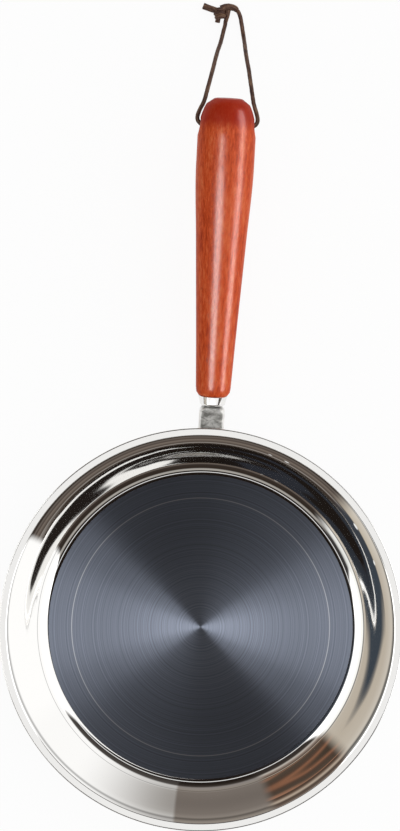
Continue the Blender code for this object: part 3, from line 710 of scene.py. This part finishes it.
@dataclass
class HangingLace:
    """The leather loop through the handle's cross hole, and the knot that ties its ends."""

    finish: CutLeather = field(default_factory=CutLeather)
    diameter: float = 2.5 * MM
    steps: int = 12
    # The same route as in the CAD model, in metres, from the knot round through the hole and back.
    route: Points = (
        (-0.0041, 0.3676, 0.0031), (-0.0043, 0.3654, 0.0022), (-0.0049, 0.3626, 0.0017),
        (-0.0056, 0.3586, 0.0036), (-0.0065, 0.3534, 0.0095), (-0.0078, 0.3478, 0.0180),
        (-0.0089, 0.3418, 0.0265), (-0.0100, 0.3350, 0.0341), (-0.0114, 0.3276, 0.0402),
        (-0.0128, 0.3204, 0.0442), (-0.0143, 0.3134, 0.0468), (-0.0165, 0.3082, 0.0476),
        (-0.0177, 0.3044, 0.0476), (-0.0174, 0.3016, 0.0475), (-0.0154, 0.2996, 0.0475),
        (-0.0127, 0.29895, 0.0474), (-0.0060, 0.29895, 0.0474), (0.0, 0.29895, 0.0474),
        (0.0060, 0.29895, 0.0474), (0.0127, 0.29895, 0.0474), (0.0154, 0.2996, 0.0475),
        (0.0174, 0.3016, 0.0475), (0.0177, 0.3044, 0.0476), (0.0166, 0.3082, 0.0476),
        (0.0149, 0.3134, 0.0468), (0.0136, 0.3204, 0.0442), (0.0123, 0.3276, 0.0402),
        (0.0111, 0.3350, 0.0341), (0.0098, 0.3418, 0.0265), (0.0089, 0.3478, 0.0180),
        (0.0082, 0.3534, 0.0095), (0.0074, 0.3586, 0.0036), (0.0066, 0.3628, 0.0016),
        (0.0057, 0.3670, 0.0016), (0.0049, 0.3704, 0.0017), (0.0037, 0.3734, 0.0020),
        (0.0018, 0.3756, 0.0024), (-0.0006, 0.3766, 0.0029), (-0.0031, 0.3762, 0.0035),
    )
    knot_centre: Vector = field(default_factory=lambda: Vector((-7.9, 371.9, 4.0)) * MM)
    knot_axis: Vector = field(default_factory=lambda: Vector((-0.35, 0.93, 0.05)).normalized())
    wrap_radius: float = 2.3 * MM
    wrap_pitch: float = 2.2 * MM
    wrap_turns: float = 2.3
    wrap_steps: int = 24
    core_reach: float = 2.6 * MM
    # The knot's strands, in millimetres.
    band: Points = (
        (2.6, 374.9, 2.3), (0.9, 376.0, 2.8), (-1.8, 376.4, 3.4), (-4.4, 375.9, 3.9), (-7.0, 374.6, 4.0))
    lead_in: Points = ((-4.1, 367.2, 2.9), (-3.7, 369.2, 3.7), (-3.2, 371.6, 4.6), (-2.9, 374.4, 4.6))
    long_tail: Points = ((-8.6, 373.4, 4.2), (-11.3, 374.3, 3.2), (-14.5, 375.3, 2.4), (-18.0, 376.5, 2.2))
    short_tail: Points = ((-7.6, 371.2, 3.6), (-8.6, 369.4, 2.6), (-9.0, 366.9, 1.9))
    thickness: tuple[Pair, ...] = (
        (1.1, 1.1), (1.9, 1.9), (1.3, 2.1), (1.0, 1.3), (1.5, 1.6), (1.3, 1.2))

    def smooth(self, points: list[Vector]) -> list[Vector]:
        """Points along a smooth curve through the given ones.

        Args:
            points: the points that the curve passes.

        Returns:
            The curve's points, with the first and the last of the given ones at its ends.
        """
        ends = [points[0] * 2.0 - points[1]] + points + [points[-1] * 2.0 - points[-2]]
        dense = []
        for before, start, end, after in zip(ends, ends[1:], ends[2:], ends[3:]):
            for index in range(self.steps):
                t = index / self.steps
                dense.append(0.5 * (
                    2.0 * start
                    + (end - before) * t
                    + (2.0 * before - 5.0 * start + 4.0 * end - after) * t ** 2
                    + (3.0 * start - 3.0 * end + after - before) * t ** 3))
        dense.append(points[-1])
        return dense

    def knot_chains(self) -> list[list[Vector]]:
        """Centrelines of the knot.

        Returns:
            The wraps, the strands that they hold, the band over the top, the strand that leads in
            and the two tails.
        """
        axis = self.knot_axis
        side = axis.cross(Vector((0.0, 0.0, 1.0))).normalized()
        up = side.cross(axis).normalized()
        centre = self.knot_centre
        count = round(self.wrap_steps * self.wrap_turns)
        wraps = []
        for index in range(count + 1):
            turn = self.wrap_turns * index / count
            angle = 2.0 * pi * turn
            reach = (turn - self.wrap_turns / 2.0) * self.wrap_pitch
            wraps.append(
                centre + axis * reach + (side * cos(angle) + up * sin(angle)) * self.wrap_radius)
        core = [centre - axis * self.core_reach, centre, centre + axis * self.core_reach]
        strands = [[Vector(point) * MM for point in points]
                   for points in (self.band, self.lead_in, self.long_tail, self.short_tail)]
        return [wraps] + [self.smooth(chain) for chain in [core] + strands]

    def build(self, sweeping: SweepTree) -> None:
        """Args:
            sweeping: the tree that lays leather along a route.
        """
        leather = self.finish.material()
        route = self.smooth([Vector(point) for point in self.route])
        loop = sweeping.sweep("lace_loop", [route], self.diameter, leather)
        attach(loop, "hanging_loop")
        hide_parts("cord_loop")
        knot = sweeping.sweep("lace_knot", self.knot_chains(), self.diameter, leather, self.thickness)
        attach(knot, "hanging_loop")
        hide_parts("cord_knot")


@dataclass
class Bowl:
    """The drawn steel bowl: flat brushed floor, S-shaped wall and a nearly flat lip, all one sheet."""

    wall_finish: BuffedSteel = field(default_factory=BuffedSteel)
    floor_finish: SpunBrushedSteel = field(default_factory=SpunBrushedSteel)
    sheet: float = 1.0 * MM
    floor_height: float = 7.4 * MM
    floor_edge: float = 91.5 * MM
    brushed_edge: float = 92.0 * MM
    rim_radius: float = 120.0 * MM
    fillet: float = 12.0 * MM
    wall_slope: float = radians(44.35)
    rim_height: float = 27.174 * MM
    flare: float = 48.0 * MM
    flare_end: float = radians(37.0)
    crease: float = 1.5 * MM
    lip_slope: float = radians(12.0)
    lip_length: float = 3.6 * MM
    lip_support: Pair = (0.15 * MM, 0.12 * MM)
    wall_steps: int = 36
    arc_step: float = 1.5
    edge_step: float = 20.0
    face_length: float = 3.0 * MM
    segments: int = 288

    def wall(self, depth: float) -> Outline:
        """Outline from the floor's edge to the lip's end, this far below the inner face.

        Args:
            depth: distance from the inner face, into the sheet.

        Returns:
            The outline's points.
        """
        start = (self.floor_edge, self.floor_height + self.fillet)
        points = arc(start, self.fillet + depth, -RIGHT, self.wall_slope - RIGHT, self.arc_step)
        curves = self.fillet * sin(self.wall_slope)
        curves += self.flare * (sin(self.wall_slope) - sin(self.flare_end))
        curves += self.crease * (sin(self.flare_end) - sin(self.lip_slope))
        run = self.rim_radius - self.floor_edge - curves - self.lip_length * cos(self.lip_slope)
        low = (self.floor_edge + self.fillet * sin(self.wall_slope),
               self.floor_height + self.fillet * (1.0 - cos(self.wall_slope)))
        rise = self.rim_height - low[1] - self.lip_length * sin(self.lip_slope)
        rise -= self.crease * (cos(self.lip_slope) - cos(self.flare_end))
        rise -= self.flare * (cos(self.flare_end) - cos(self.wall_slope))
        high = (low[0] + run, low[1] + rise)
        # The wall is a little steeper halfway, as drawing leaves it, and its ends keep their slope.
        steeper = 2.0 * (atan2(rise, run) - self.wall_slope)
        middle = self.wall_slope + 0.5 * steeper
        length = sqrt(run ** 2 + rise ** 2)
        for index in range(1, self.wall_steps):
            share = index / self.wall_steps
            swing = steeper * length * sin(2.0 * pi * share) / (4.0 * pi)
            lean = self.wall_slope + 0.5 * steeper * (1.0 - cos(2.0 * pi * share))
            points.append((low[0] + run * share + swing * sin(middle) + depth * sin(lean),
                           low[1] + rise * share - swing * cos(middle) - depth * cos(lean)))
        flare_centre = (high[0] + self.flare * sin(self.wall_slope),
                        high[1] - self.flare * cos(self.wall_slope))
        points += arc(
            flare_centre, self.flare - depth, self.wall_slope + RIGHT, self.flare_end + RIGHT, self.arc_step)
        inset = self.flare - self.crease
        crease_centre = (flare_centre[0] - inset * sin(self.flare_end),
                         flare_centre[1] + inset * cos(self.flare_end))
        points += arc(
            crease_centre, self.crease - depth, self.flare_end + RIGHT, self.lip_slope + RIGHT)[1:]
        end = points[-1]
        for reach in (self.lip_support[0], self.lip_length - self.lip_support[1], self.lip_length):
            points.append((end[0] + reach * cos(self.lip_slope), end[1] + reach * sin(self.lip_slope)))
        return points

    def rim_edge(self) -> Outline:
        """The rim's edge, sheared and then rolled round by the polishing wheel.

        Returns:
            Its points between the inner face and the outer one.
        """
        inner = self.wall(0.0)[-1]
        outer = self.wall(self.sheet)[-1]
        middle = ((inner[0] + outer[0]) / 2.0, (inner[1] + outer[1]) / 2.0)
        start = atan2(inner[1] - middle[1], inner[0] - middle[0])
        return arc(middle, self.sheet / 2.0, start, start - pi, self.edge_step)[1:-1]

    def outline(self) -> Outline:
        """The whole section.

        Returns:
            Its points from the underside's centre out and back to the floor's centre.
        """
        inner = evenly([(0.0, self.floor_height)] + self.wall(0.0), self.face_length)
        outer = evenly([(0.0, self.floor_height - self.sheet)] + self.wall(self.sheet), self.face_length)
        return outer + self.rim_edge()[::-1] + inner[::-1]

    def build(self, turning: TurningTree) -> None:
        """Make the bowl in place of its CAD node.

        Args:
            turning: the tree that turns an outline.
        """
        shell = turning.turn(
            "bowl", self.outline(), self.segments, self.wall_finish.material(),
            self.floor_finish.material(), self.brushed_edge)
        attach(shell, "pan")
        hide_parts("pan_shell")
        LOG.info("bowl: %.0f mm across, rim at %.1f mm", 2.0 * self.rim_radius / MM, self.rim_height / MM)


@dataclass
class BaseDisc:
    """The aluminium core that spreads the heat and the steel cap that closes it."""

    # The cap's painted highlight ring is set beyond its edge, so the cap shows none.
    cap_finish: SpunBrushedSteel = field(default_factory=lambda: SpunBrushedSteel(
        name="stainless_steel_base_brushed", colour_low="#a9a9a8", colour_high="#c9c9c7", roughness=0.28,
        print_radius=200.0 * MM))
    core_finish: PlainMetal = field(default_factory=lambda: PlainMetal(
        "aluminium_rolled", "#b9bcc0", "#d3d6d9", 0.38))
    inner_radius: float = 78.9 * MM
    outer_radius: float = 79.7 * MM
    top: float = 6.1 * MM
    sheet: float = 0.8 * MM
    corner: float = 2.0 * MM
    corner_step: float = 10.0
    face_length: float = 6.0 * MM
    segments: int = 256

    def outline(self) -> Outline:
        """Section of the cap.

        Returns:
            Its points from its bottom's centre round its wall to its inner face's centre.
        """
        outer = arc(
            (self.outer_radius - self.corner, self.corner), self.corner, -RIGHT, 0.0, self.corner_step)
        inset = self.corner - self.sheet
        inner = arc((self.inner_radius - inset, self.corner), inset, 0.0, -RIGHT, self.corner_step)
        rim = [(self.outer_radius, self.top), (self.inner_radius, self.top)]
        return evenly([(0.0, 0.0)] + outer + rim + inner + [(0.0, self.sheet)], self.face_length)

    def build(self, turning: TurningTree) -> None:
        """Make the cap and dress the core.

        Args:
            turning: the tree that turns an outline.
        """
        cap = turning.turn("base_cap_cover", self.outline(), self.segments, self.cap_finish.material())
        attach(cap, "pan")
        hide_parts("base_cap")
        dress_node("base_core", self.core_finish.material())
        LOG.info("base: %.0f mm across", 2.0 * self.outer_radius / MM)


def dress_node(node: str, material: Material) -> None:
    """Give a CAD node that stays its material."""
    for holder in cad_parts[node].material_slots:
        holder.material = material


@dataclass
class HandleLine:
    """The handle's axis, which rises from the bracket's end face."""

    beyond_rim: float = 13.9 * MM
    below_rim: float = 8.86 * MM
    rise: float = radians(10.0)

    def place(self, bowl: Bowl) -> Matrix:
        """The matrix that lays a piece turned round Z along the handle fixed to this bowl."""
        start = Vector((0.0, bowl.rim_radius + self.beyond_rim, bowl.rim_height - self.below_rim))
        return Matrix.Translation(start) @ Matrix.Rotation(self.rise - RIGHT, 4, "X")


@dataclass
class HandleFixing:
    """What holds the wood: the welded bracket, the screw with its washer, and the ferrule."""

    bracket_finish: TumbledSteel = field(default_factory=TumbledSteel)
    ferrule_finish: BuffedSteel = field(default_factory=lambda: BuffedSteel(
        name="stainless_steel_ferrule_buffed", roughness=0.09))
    screw_finish: PlainMetal = field(default_factory=lambda: PlainMetal(
        "steel_zinc_plated", "#8f9296", "#b4b7ba", 0.34))
    start: float = 0.3 * MM
    length: float = 6.4 * MM
    face_radius: float = 7.8 * MM
    mouth_radius: float = 8.85 * MM
    mouth_taper: float = 0.02 * MM
    corner: float = 2.2 * MM
    corner_step: float = 8.0
    end_wall: float = 1.5 * MM
    bore: float = 7.0 * MM
    screw_hole: float = 2.7 * MM
    edge: float = 0.25 * MM
    segments: int = 96

    def ferrule_outline(self) -> Outline:
        """Section of the ferrule.

        Returns:
            Its points from the screw hole round its outside and back inside.
        """
        end = self.start + self.length
        corner = arc(
            (self.face_radius - self.corner, self.start + self.corner), self.corner, -RIGHT, 0.0,
            self.corner_step)
        mouth = [(self.mouth_radius - self.mouth_taper, end - self.edge),
                 (self.mouth_radius - self.edge, end)]
        inside = [(self.bore, end), (self.bore, self.start + self.end_wall),
                  (self.screw_hole, self.start + self.end_wall)]
        return [(self.screw_hole, self.start)] + corner + mouth + inside + [(self.screw_hole, self.start)]

    def build(self, turning: TurningTree, place: Matrix) -> None:
        """Make the ferrule and dress the bracket, the screw and the washer.

        Args:
            turning: the tree that turns an outline.
            place: where the handle's axis starts and runs.
        """
        steel = self.ferrule_finish.material()
        ferrule = turning.turn(
            "ferrule_cup", self.ferrule_outline(), self.segments, steel, place=place)
        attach(ferrule, "pan")
        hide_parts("ferrule")
        dress_node("handle_bracket", self.bracket_finish.material())
        zinc = self.screw_finish.material()
        dress_node("handle_screw", zinc)
        dress_node("lock_washer", zinc)
        LOG.info("fixing: bracket, screw, washer and ferrule")


@dataclass
class WoodenGrip:
    """The turned hardwood grip, with its tenon, its screw bore and the cross hole for the lace."""

    finish: LacqueredHardwood = field(default_factory=LacqueredHardwood)
    start: float = 7.0 * MM
    length: float = 177.0 * MM
    shoulder_radius: float = 8.85 * MM
    stations: tuple[Pair, ...] = (
        (4.5 * MM, 10.5 * MM), (36.0 * MM, 12.0 * MM), (93.0 * MM, 15.0 * MM), (138.0 * MM, 17.2 * MM),
        (155.0 * MM, 17.2 * MM))
    side_steps: int = 75
    collar: Pair = (1.8 * MM, 10.1 * MM)
    butt_curve: float = 42.0 * MM
    butt_steps: int = 12
    butt_shoulder: float = 171.9 * MM
    chamfer_radius: float = 12.7 * MM
    chamfer_height: float = 3.4 * MM
    end_radius: float = 7.9 * MM
    end_rounding: float = 0.6 * MM
    tenon_radius: float = 6.7 * MM
    tenon_length: float = 4.9 * MM
    bore_radius: float = 2.7 * MM
    bore_end: float = 49.0 * MM
    hole_from_end: float = 16.4 * MM
    hole_radius: float = 2.0 * MM
    hole_mouth_radius: float = 6.2 * MM
    hole_mouth_depth: float = 4.6 * MM
    hole_overrun: float = 0.3 * MM
    hole_segments: int = 48
    segments: int = 128

    def side_radius(self, distance: float) -> float:
        """Radius of the long side at a distance from the shoulder, on a smooth curve.

        Args:
            distance: distance from the shoulder, between the first and the last station.

        Returns:
            The radius there.
        """
        places = self.stations
        slopes = [(places[1][1] - places[0][1]) / (places[1][0] - places[0][0])]
        slopes += [(after[1] - before[1]) / (after[0] - before[0])
                   for before, after in zip(places, places[2:-1])]
        slopes += [0.0, 0.0]
        index = sum(1 for at, radius in places[1:-1] if distance > at)
        (start, low), (end, high) = places[index], places[index + 1]
        span = end - start
        t = (distance - start) / span
        value = (2 * t ** 3 - 3 * t ** 2 + 1) * low + (3 * t ** 2 - 2 * t ** 3) * high
        lean = (t ** 3 - 2 * t ** 2 + t) * slopes[index] + (t ** 3 - t ** 2) * slopes[index + 1]
        return value + span * lean

    def outline(self) -> Outline:
        """Section of the grip.

        Returns:
            Its points from the pilot bore's end, out round the tenon and along to the butt.
        """
        first, last = self.stations[0][0], self.stations[-1][0]
        end = self.start + self.length
        outline = [
            (0.0, self.bore_end),
            (self.bore_radius, self.bore_end - self.bore_radius),
            (self.bore_radius, self.start - self.tenon_length),
            (self.tenon_radius, self.start - self.tenon_length),
            (self.tenon_radius, self.start),
            (self.shoulder_radius, self.start),
            (self.collar[1], self.start + self.collar[0]),
        ]
        for index in range(self.side_steps + 1):
            distance = first + (last - first) * index / self.side_steps
            outline.append((self.side_radius(distance), self.start + distance))
        full = self.stations[-1][1]
        for index in range(1, self.butt_steps + 1):
            run = (self.butt_shoulder - last) * index / self.butt_steps
            drop = self.butt_curve - sqrt(self.butt_curve ** 2 - run ** 2)
            outline.append((full - drop, self.start + last + run))
        outline += [
            (self.chamfer_radius, end - self.chamfer_height),
            (self.end_radius + self.end_rounding, end - self.end_rounding / 2.0),
            (self.end_radius - self.end_rounding, end),
            (0.0, end),
        ]
        return outline

    def hole_outline(self) -> Outline:
        """Section of the cross hole.

        Returns:
            Its points from one funnel through the bore to the other.
        """
        reach = self.stations[-1][1]
        inner = reach - self.hole_mouth_depth
        beyond = reach + self.hole_overrun
        return [(0.0, -beyond), (self.hole_mouth_radius, -beyond), (self.hole_radius, -inner),
                (self.hole_radius, inner), (self.hole_mouth_radius, beyond), (0.0, beyond)]

    def build(self, turning: TurningTree, place: Matrix) -> None:
        """Turn the grip and bore the cross hole.

        Args:
            turning: the tree that turns an outline.
            place: where the handle's axis starts and runs.
        """
        wood = self.finish.material()
        grip = turning.turn("grip", self.outline(), self.segments, wood, place=place)
        hole_at = self.start + self.length - self.hole_from_end
        across = place @ Matrix.Translation((0.0, 0.0, hole_at)) @ Matrix.Rotation(RIGHT, 4, "Y")
        drill = turning.turn("drill", self.hole_outline(), self.hole_segments, wood, place=across)
        cut = grip.modifiers.new("cross_hole", "BOOLEAN")
        cut.operation = "DIFFERENCE"
        cut.solver = "EXACT"
        cut.object = drill
        graph = bpy.context.evaluated_depsgraph_get()
        bored = bpy.data.meshes.new_from_object(grip.evaluated_get(graph))
        grip.modifiers.clear()
        grip.data = bored
        bpy.data.objects.remove(drill)
        grip.data.set_sharp_from_angle(angle=SHARP)
        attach(grip, "pan")
        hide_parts("wooden_handle")
        LOG.info("grip: %.0f mm of hardwood", self.length / MM)


class Seen(Enum):
    """The kinds of ray that the stage shows itself to as plain white."""

    CAMERA = "Is Camera Ray"
    GLOSSY = "Is Glossy Ray"
    TRANSMITTED = "Is Transmission Ray"


def heading(azimuth: float, elevation: float) -> Vector:
    """Direction towards an azimuth, from +X towards +Y, and an elevation, both in degrees."""
    turn, lift = radians(azimuth), radians(elevation)
    return Vector((cos(turn) * cos(lift), sin(turn) * cos(lift), sin(lift)))


@dataclass(frozen=True)
class RoomSide:
    """One side of the studio as the polished steel sees it, as bands of brightness by elevation."""

    starts: float
    softness: float
    bands: Stops
    gain: float = 1.12


@dataclass(frozen=True)
class Reflector:
    """A white ring in the room that the steel mirrors, or a spot where its angle is 0, in degrees."""

    axis: Vector
    angle: float
    width: float
    softness: float


@dataclass(frozen=True)
class Softbox:
    """A lamp that faces the pan, and the one piece whose gloss shows it."""

    name: str
    azimuth: float
    elevation: float
    size: Pair
    brightness: float
    shown_by: str


# The room's left side, which both ends of the azimuth's range show.
LEFT_BANDS: Stops = (
    (-90.0, "#24262a"), (4.6, "#262b31"), (5.6, "#7f786e"), (16.0, "#8b867e"), (19.0, "#3c3b39"),
    (22.0, "#5e5d5b"), (26.0, "#b0b0ae"), (40.0, "#b0b0ae"), (44.0, "#ffffff"), (72.0, "#ffffff"),
    (75.0, "#262b31"), (90.0, "#1a1b20"))


@dataclass
class Studio:
    """A pale floor, plain soft light all round, lamps for the gloss and the room that the steel mirrors."""

    floor_half: float = 3.0
    floor_drop: float = 0.1 * MM
    floor_white: str = "#ffffff"
    floor_roughness: float = 0.9
    shadow_share: float = 0.08
    fill_left: float = 0.36
    fill_right: float = 1.24
    reflector_brightness: float = 0.98
    reflectors: tuple[Reflector, ...] = field(default_factory=lambda: (
        Reflector(Vector((0.005, -0.0845, 0.9964)), 19.8, 3.6, 0.8),
        Reflector(heading(-139.5, 4.2), 0.0, 2.2, 0.3),
        Reflector(heading(-151.5, 5.0), 0.0, 1.6, 0.3),
        Reflector(heading(-112.0, 6.0), 0.0, 1.4, 0.3),
        Reflector(heading(-107.0, 5.0), 0.0, 1.0, 0.3)))
    softboxes: tuple[Softbox, ...] = (
        Softbox("softbox_left", 233.0, 65.0, (0.85, 0.8), 88.0, "grip"),
        Softbox("softbox_right", -16.5, 23.0, (0.9, 0.8), 54.0, "grip"),
        Softbox("softbox_butt", 20.0, 24.0, (1.2, 0.9), 34.0, "grip"),
        Softbox("card_ferrule", -90.0, 51.0, (4.0, 1.4), 1.05, "ferrule_cup"))
    aim: Vector = field(default_factory=lambda: Vector((0.0, 0.1, 0.0)))
    lamp_distance: float = 2.0
    sides: tuple[RoomSide, ...] = (
        RoomSide(-180.0, 1.0, LEFT_BANDS, 2.6),
        RoomSide(-151.0, 3.0, (
            (-90.0, "#3a3c40"), (4.6, "#3c4149"), (5.6, "#c2b8a8"), (16.0, "#d2cbc0"), (19.0, "#5a5856"),
            (22.0, "#8e8c8a"), (26.0, "#f0f0ee"), (40.0, "#e0e0de"), (50.0, "#3c3a3a"), (90.0, "#1c1714"))),
        RoomSide(-132.0, 5.0, (
            (-90.0, "#2a2624"), (0.0, "#2b2522"), (2.5, "#40362f"), (3.2, "#a8a29c"), (4.4, "#4a4039"),
            (9.0, "#786e66"), (11.0, "#4a403a"), (14.0, "#6a625c"), (16.0, "#38302b"), (40.0, "#302822"),
            (46.0, "#a8a49e"), (53.0, "#a8a49e"), (57.0, "#241e1a"), (90.0, "#1c1714"))),
        RoomSide(-30.0, 1.5, (
            (-90.0, "#5c5c5c"), (-6.0, "#8a8a8a"), (0.0, "#b2b2b2"), (17.0, "#b2b2b2"), (20.0, "#727272"),
            (23.0, "#b2b2b2"), (40.0, "#b2b2b2"), (44.0, "#ffffff"), (72.0, "#ffffff"), (76.0, "#b2b2b2"),
            (90.0, "#b2b2b2")), 2.6),
        RoomSide(27.0, 5.0, (
            (-90.0, "#8a8a8a"), (-6.0, "#c8c8c8"), (0.0, "#ffffff"), (17.0, "#ffffff"), (20.0, "#a8a8a8"),
            (23.0, "#ffffff"), (44.0, "#ffffff"), (50.0, "#4c4845"), (90.0, "#1c1714"))),
        RoomSide(66.0, 20.0, (
            (-90.0, "#7a7a7a"), (-6.0, "#888684"), (0.0, "#928e8a"), (9.0, "#9a9692"), (17.0, "#bcbab7"),
            (20.0, "#807e7c"), (23.0, "#b2b0ae"), (40.0, "#c2c0be"), (48.0, "#4c4845"), (90.0, "#1c1714"))),
        RoomSide(84.0, 0.7, (
            (-90.0, "#4a4642"), (0.0, "#5e5752"), (9.0, "#746c66"), (16.0, "#8a827b"), (19.0, "#5e5853"),
            (23.0, "#8e867e"), (40.0, "#8a8480"), (48.0, "#3c3632"), (60.0, "#241e1a"), (90.0, "#1c1714"))),
        RoomSide(117.0, 2.5, (
            (-90.0, "#3a3430"), (6.6, "#433930"), (7.2, "#9a6a50"), (7.8, "#463a32"), (9.2, "#50443a"),
            (9.8, "#a47860"), (10.4, "#463a32"), (13.0, "#5c4a3e"), (17.0, "#b8a898"), (20.0, "#4c4038"),
            (32.0, "#8a7a70"), (42.0, "#bdb6ae"), (50.0, "#3c3632"), (90.0, "#1c1714"))),
        RoomSide(146.0, 3.0, LEFT_BANDS, 2.6),
    )

    def seen_as_white(self, add: Adder, kinds: tuple[Seen, ...]) -> NodeSocket | Node:
        """Add nodes that give 1 where one of these kinds of ray asks.

        Args:
            add: adds a node to the tree.
            kinds: the kinds of ray.

        Returns:
            What gives that value.
        """
        path = add("ShaderNodeLightPath").outputs
        total = path[kinds[0].value]
        for kind in kinds[1:]:
            total = add("ShaderNodeMath", [total, path[kind.value]], operation="MAXIMUM")
        return total

    def build_floor(self) -> None:
        """Make the pale floor, white to the camera and to polished steel, and dimmer in a shadow."""
        mesh = bpy.data.meshes.new("studio_floor")
        corners = [(x * self.floor_half, y * self.floor_half, -self.floor_drop)
                   for x, y in ((-1, -1), (1, -1), (1, 1), (-1, 1))]
        mesh.from_pydata(corners, [], [(0, 1, 2, 3)])
        material, add, shader = start_material("matt_white_paper")
        feed(shader, {"Base Color": linear(self.floor_white), "Roughness": self.floor_roughness})
        glow = add("ShaderNodeEmission", {"Color": WHITE, "Strength": 1.0})
        seen = self.seen_as_white(add, (Seen.CAMERA, Seen.GLOSSY, Seen.TRANSMITTED))
        share = add("ShaderNodeMath", [seen, 1.0 - self.shadow_share], operation="MULTIPLY")
        paper = add("ShaderNodeMixShader", [share, shader, glow])
        feed(material.node_tree.nodes["Material Output"], {"Surface": paper})
        mesh.materials.append(material)
        show("studio_floor", mesh)

    def add_reflector(self, add: Adder, spot: NodeSocket, room: Node, reflector: Reflector) -> Node:
        """Add a reflector to the room's colours.

        Args:
            add: adds a node to the world's tree.
            spot: socket with the direction that is seen.
            room: node with the room's colour so far.
            reflector: the ring or spot.

        Returns:
            The node with the new colour.
        """
        along = add("ShaderNodeVectorMath", [spot, reflector.axis], operation="DOT_PRODUCT")
        turned = add("ShaderNodeMath", [along], operation="ARCCOSINE")
        off_axis = add("ShaderNodeMath", [turned], operation="DEGREES")
        off_ring = add("ShaderNodeMath", [off_axis, reflector.angle], operation="SUBTRACT")
        apart = add("ShaderNodeMath", [off_ring], operation="ABSOLUTE")
        edge = 0.5 * reflector.width
        share = add(
            "ShaderNodeMapRange", [apart, edge + reflector.softness, edge - reflector.softness],
            interpolation_type="SMOOTHSTEP")
        level = self.reflector_brightness
        return add(
            "ShaderNodeMix", {0: share, 6: room, 7: (level, level, level, 1.0)}, data_type="RGBA",
            clamp_result=False)

    def build_world(self) -> None:
        """Make the surroundings: plain fill for matt surfaces, the room's sides for polished ones."""
        world = bpy.data.worlds.new("studio")
        bpy.context.scene.world = world
        world.use_nodes = True
        tree = world.node_tree
        add = partial(add_node, tree)
        spot = add("ShaderNodeTexCoord").outputs["Generated"]
        split = add("ShaderNodeSeparateXYZ", [spot]).outputs
        height = add("ShaderNodeMath", [split["Z"]], operation="ARCSINE")
        level = add("ShaderNodeMapRange", [height, -RIGHT, RIGHT])
        around = add("ShaderNodeMath", [split["Y"], split["X"]], operation="ARCTAN2")
        azimuth = add("ShaderNodeMath", [around], operation="DEGREES")
        room = None
        for side in self.sides:
            stops = [((elevation + 90.0) / 180.0, colour) for elevation, colour in side.bands]
            ramp = add("ShaderNodeValToRGB", [level], stops)
            lit = add("ShaderNodeVectorMath", {0: ramp, "Scale": side.gain}, operation="SCALE")
            if room is None:
                room = lit
                continue
            share = add(
                "ShaderNodeMapRange", [azimuth, side.starts - side.softness, side.starts + side.softness],
                interpolation_type="SMOOTHSTEP")
            room = add("ShaderNodeMix", {0: share, 6: room, 7: lit}, data_type="RGBA", clamp_result=False)
        for reflector in self.reflectors:
            room = self.add_reflector(add, spot, room, reflector)
        fill = add("ShaderNodeMapRange", [split["X"], -1.0, 1.0, self.fill_left, self.fill_right])
        glossy = self.seen_as_white(add, (Seen.GLOSSY,))
        plain = add("ShaderNodeMix", {0: glossy, 6: fill, 7: room}, data_type="RGBA")
        white = self.seen_as_white(add, (Seen.CAMERA, Seen.TRANSMITTED))
        shown = add("ShaderNodeMix", {0: white, 6: plain, 7: WHITE}, data_type="RGBA")
        feed(tree.nodes["Background"], {"Color": shown, "Strength": 1.0})

    def hang(self, box: Softbox) -> None:
        """Hang a softbox so that its face looks at the pan and one piece alone mirrors it.

        Args:
            box: the softbox, whose brightness is 1 for a white face.
        """
        lamp = bpy.data.lights.new(box.name, "AREA")
        lamp.shape = "RECTANGLE"
        lamp.size, lamp.size_y = box.size
        lamp.energy = box.brightness * pi * box.size[0] * box.size[1]
        away = heading(box.azimuth, box.elevation)
        item = show(box.name, lamp)
        item.location = self.aim + away * self.lamp_distance
        item.rotation_euler = away.to_track_quat("Z", "Y").to_euler()
        receivers = bpy.data.collections.new(box.name + "_lights")
        receivers.objects.link(bpy.data.objects[box.shown_by])
        item.light_linking.receiver_collection = receivers
        item.visible_diffuse = False

    def build(self) -> None:
        """Set the stage, the surroundings and the softboxes."""
        self.build_floor()
        self.build_world()
        for box in self.softboxes:
            self.hang(box)
        bpy.context.scene.view_settings.view_transform = "Standard"
        LOG.info("studio: floor, surroundings, three softboxes and a card")


def main() -> None:
    """Build the pan from its sub-assemblies, then the studio."""
    logging.basicConfig(level=logging.INFO, format="%(name)s %(message)s")
    StudioCamera().build()
    turning = TurningTree()
    HangingLace().build(SweepTree())
    bowl = Bowl()
    bowl.build(turning)
    BaseDisc().build(turning)
    place = HandleLine().place(bowl)
    HandleFixing().build(turning, place)
    WoodenGrip().build(turning, place)
    Studio().build()


if __name__ == "__main__":
    main()
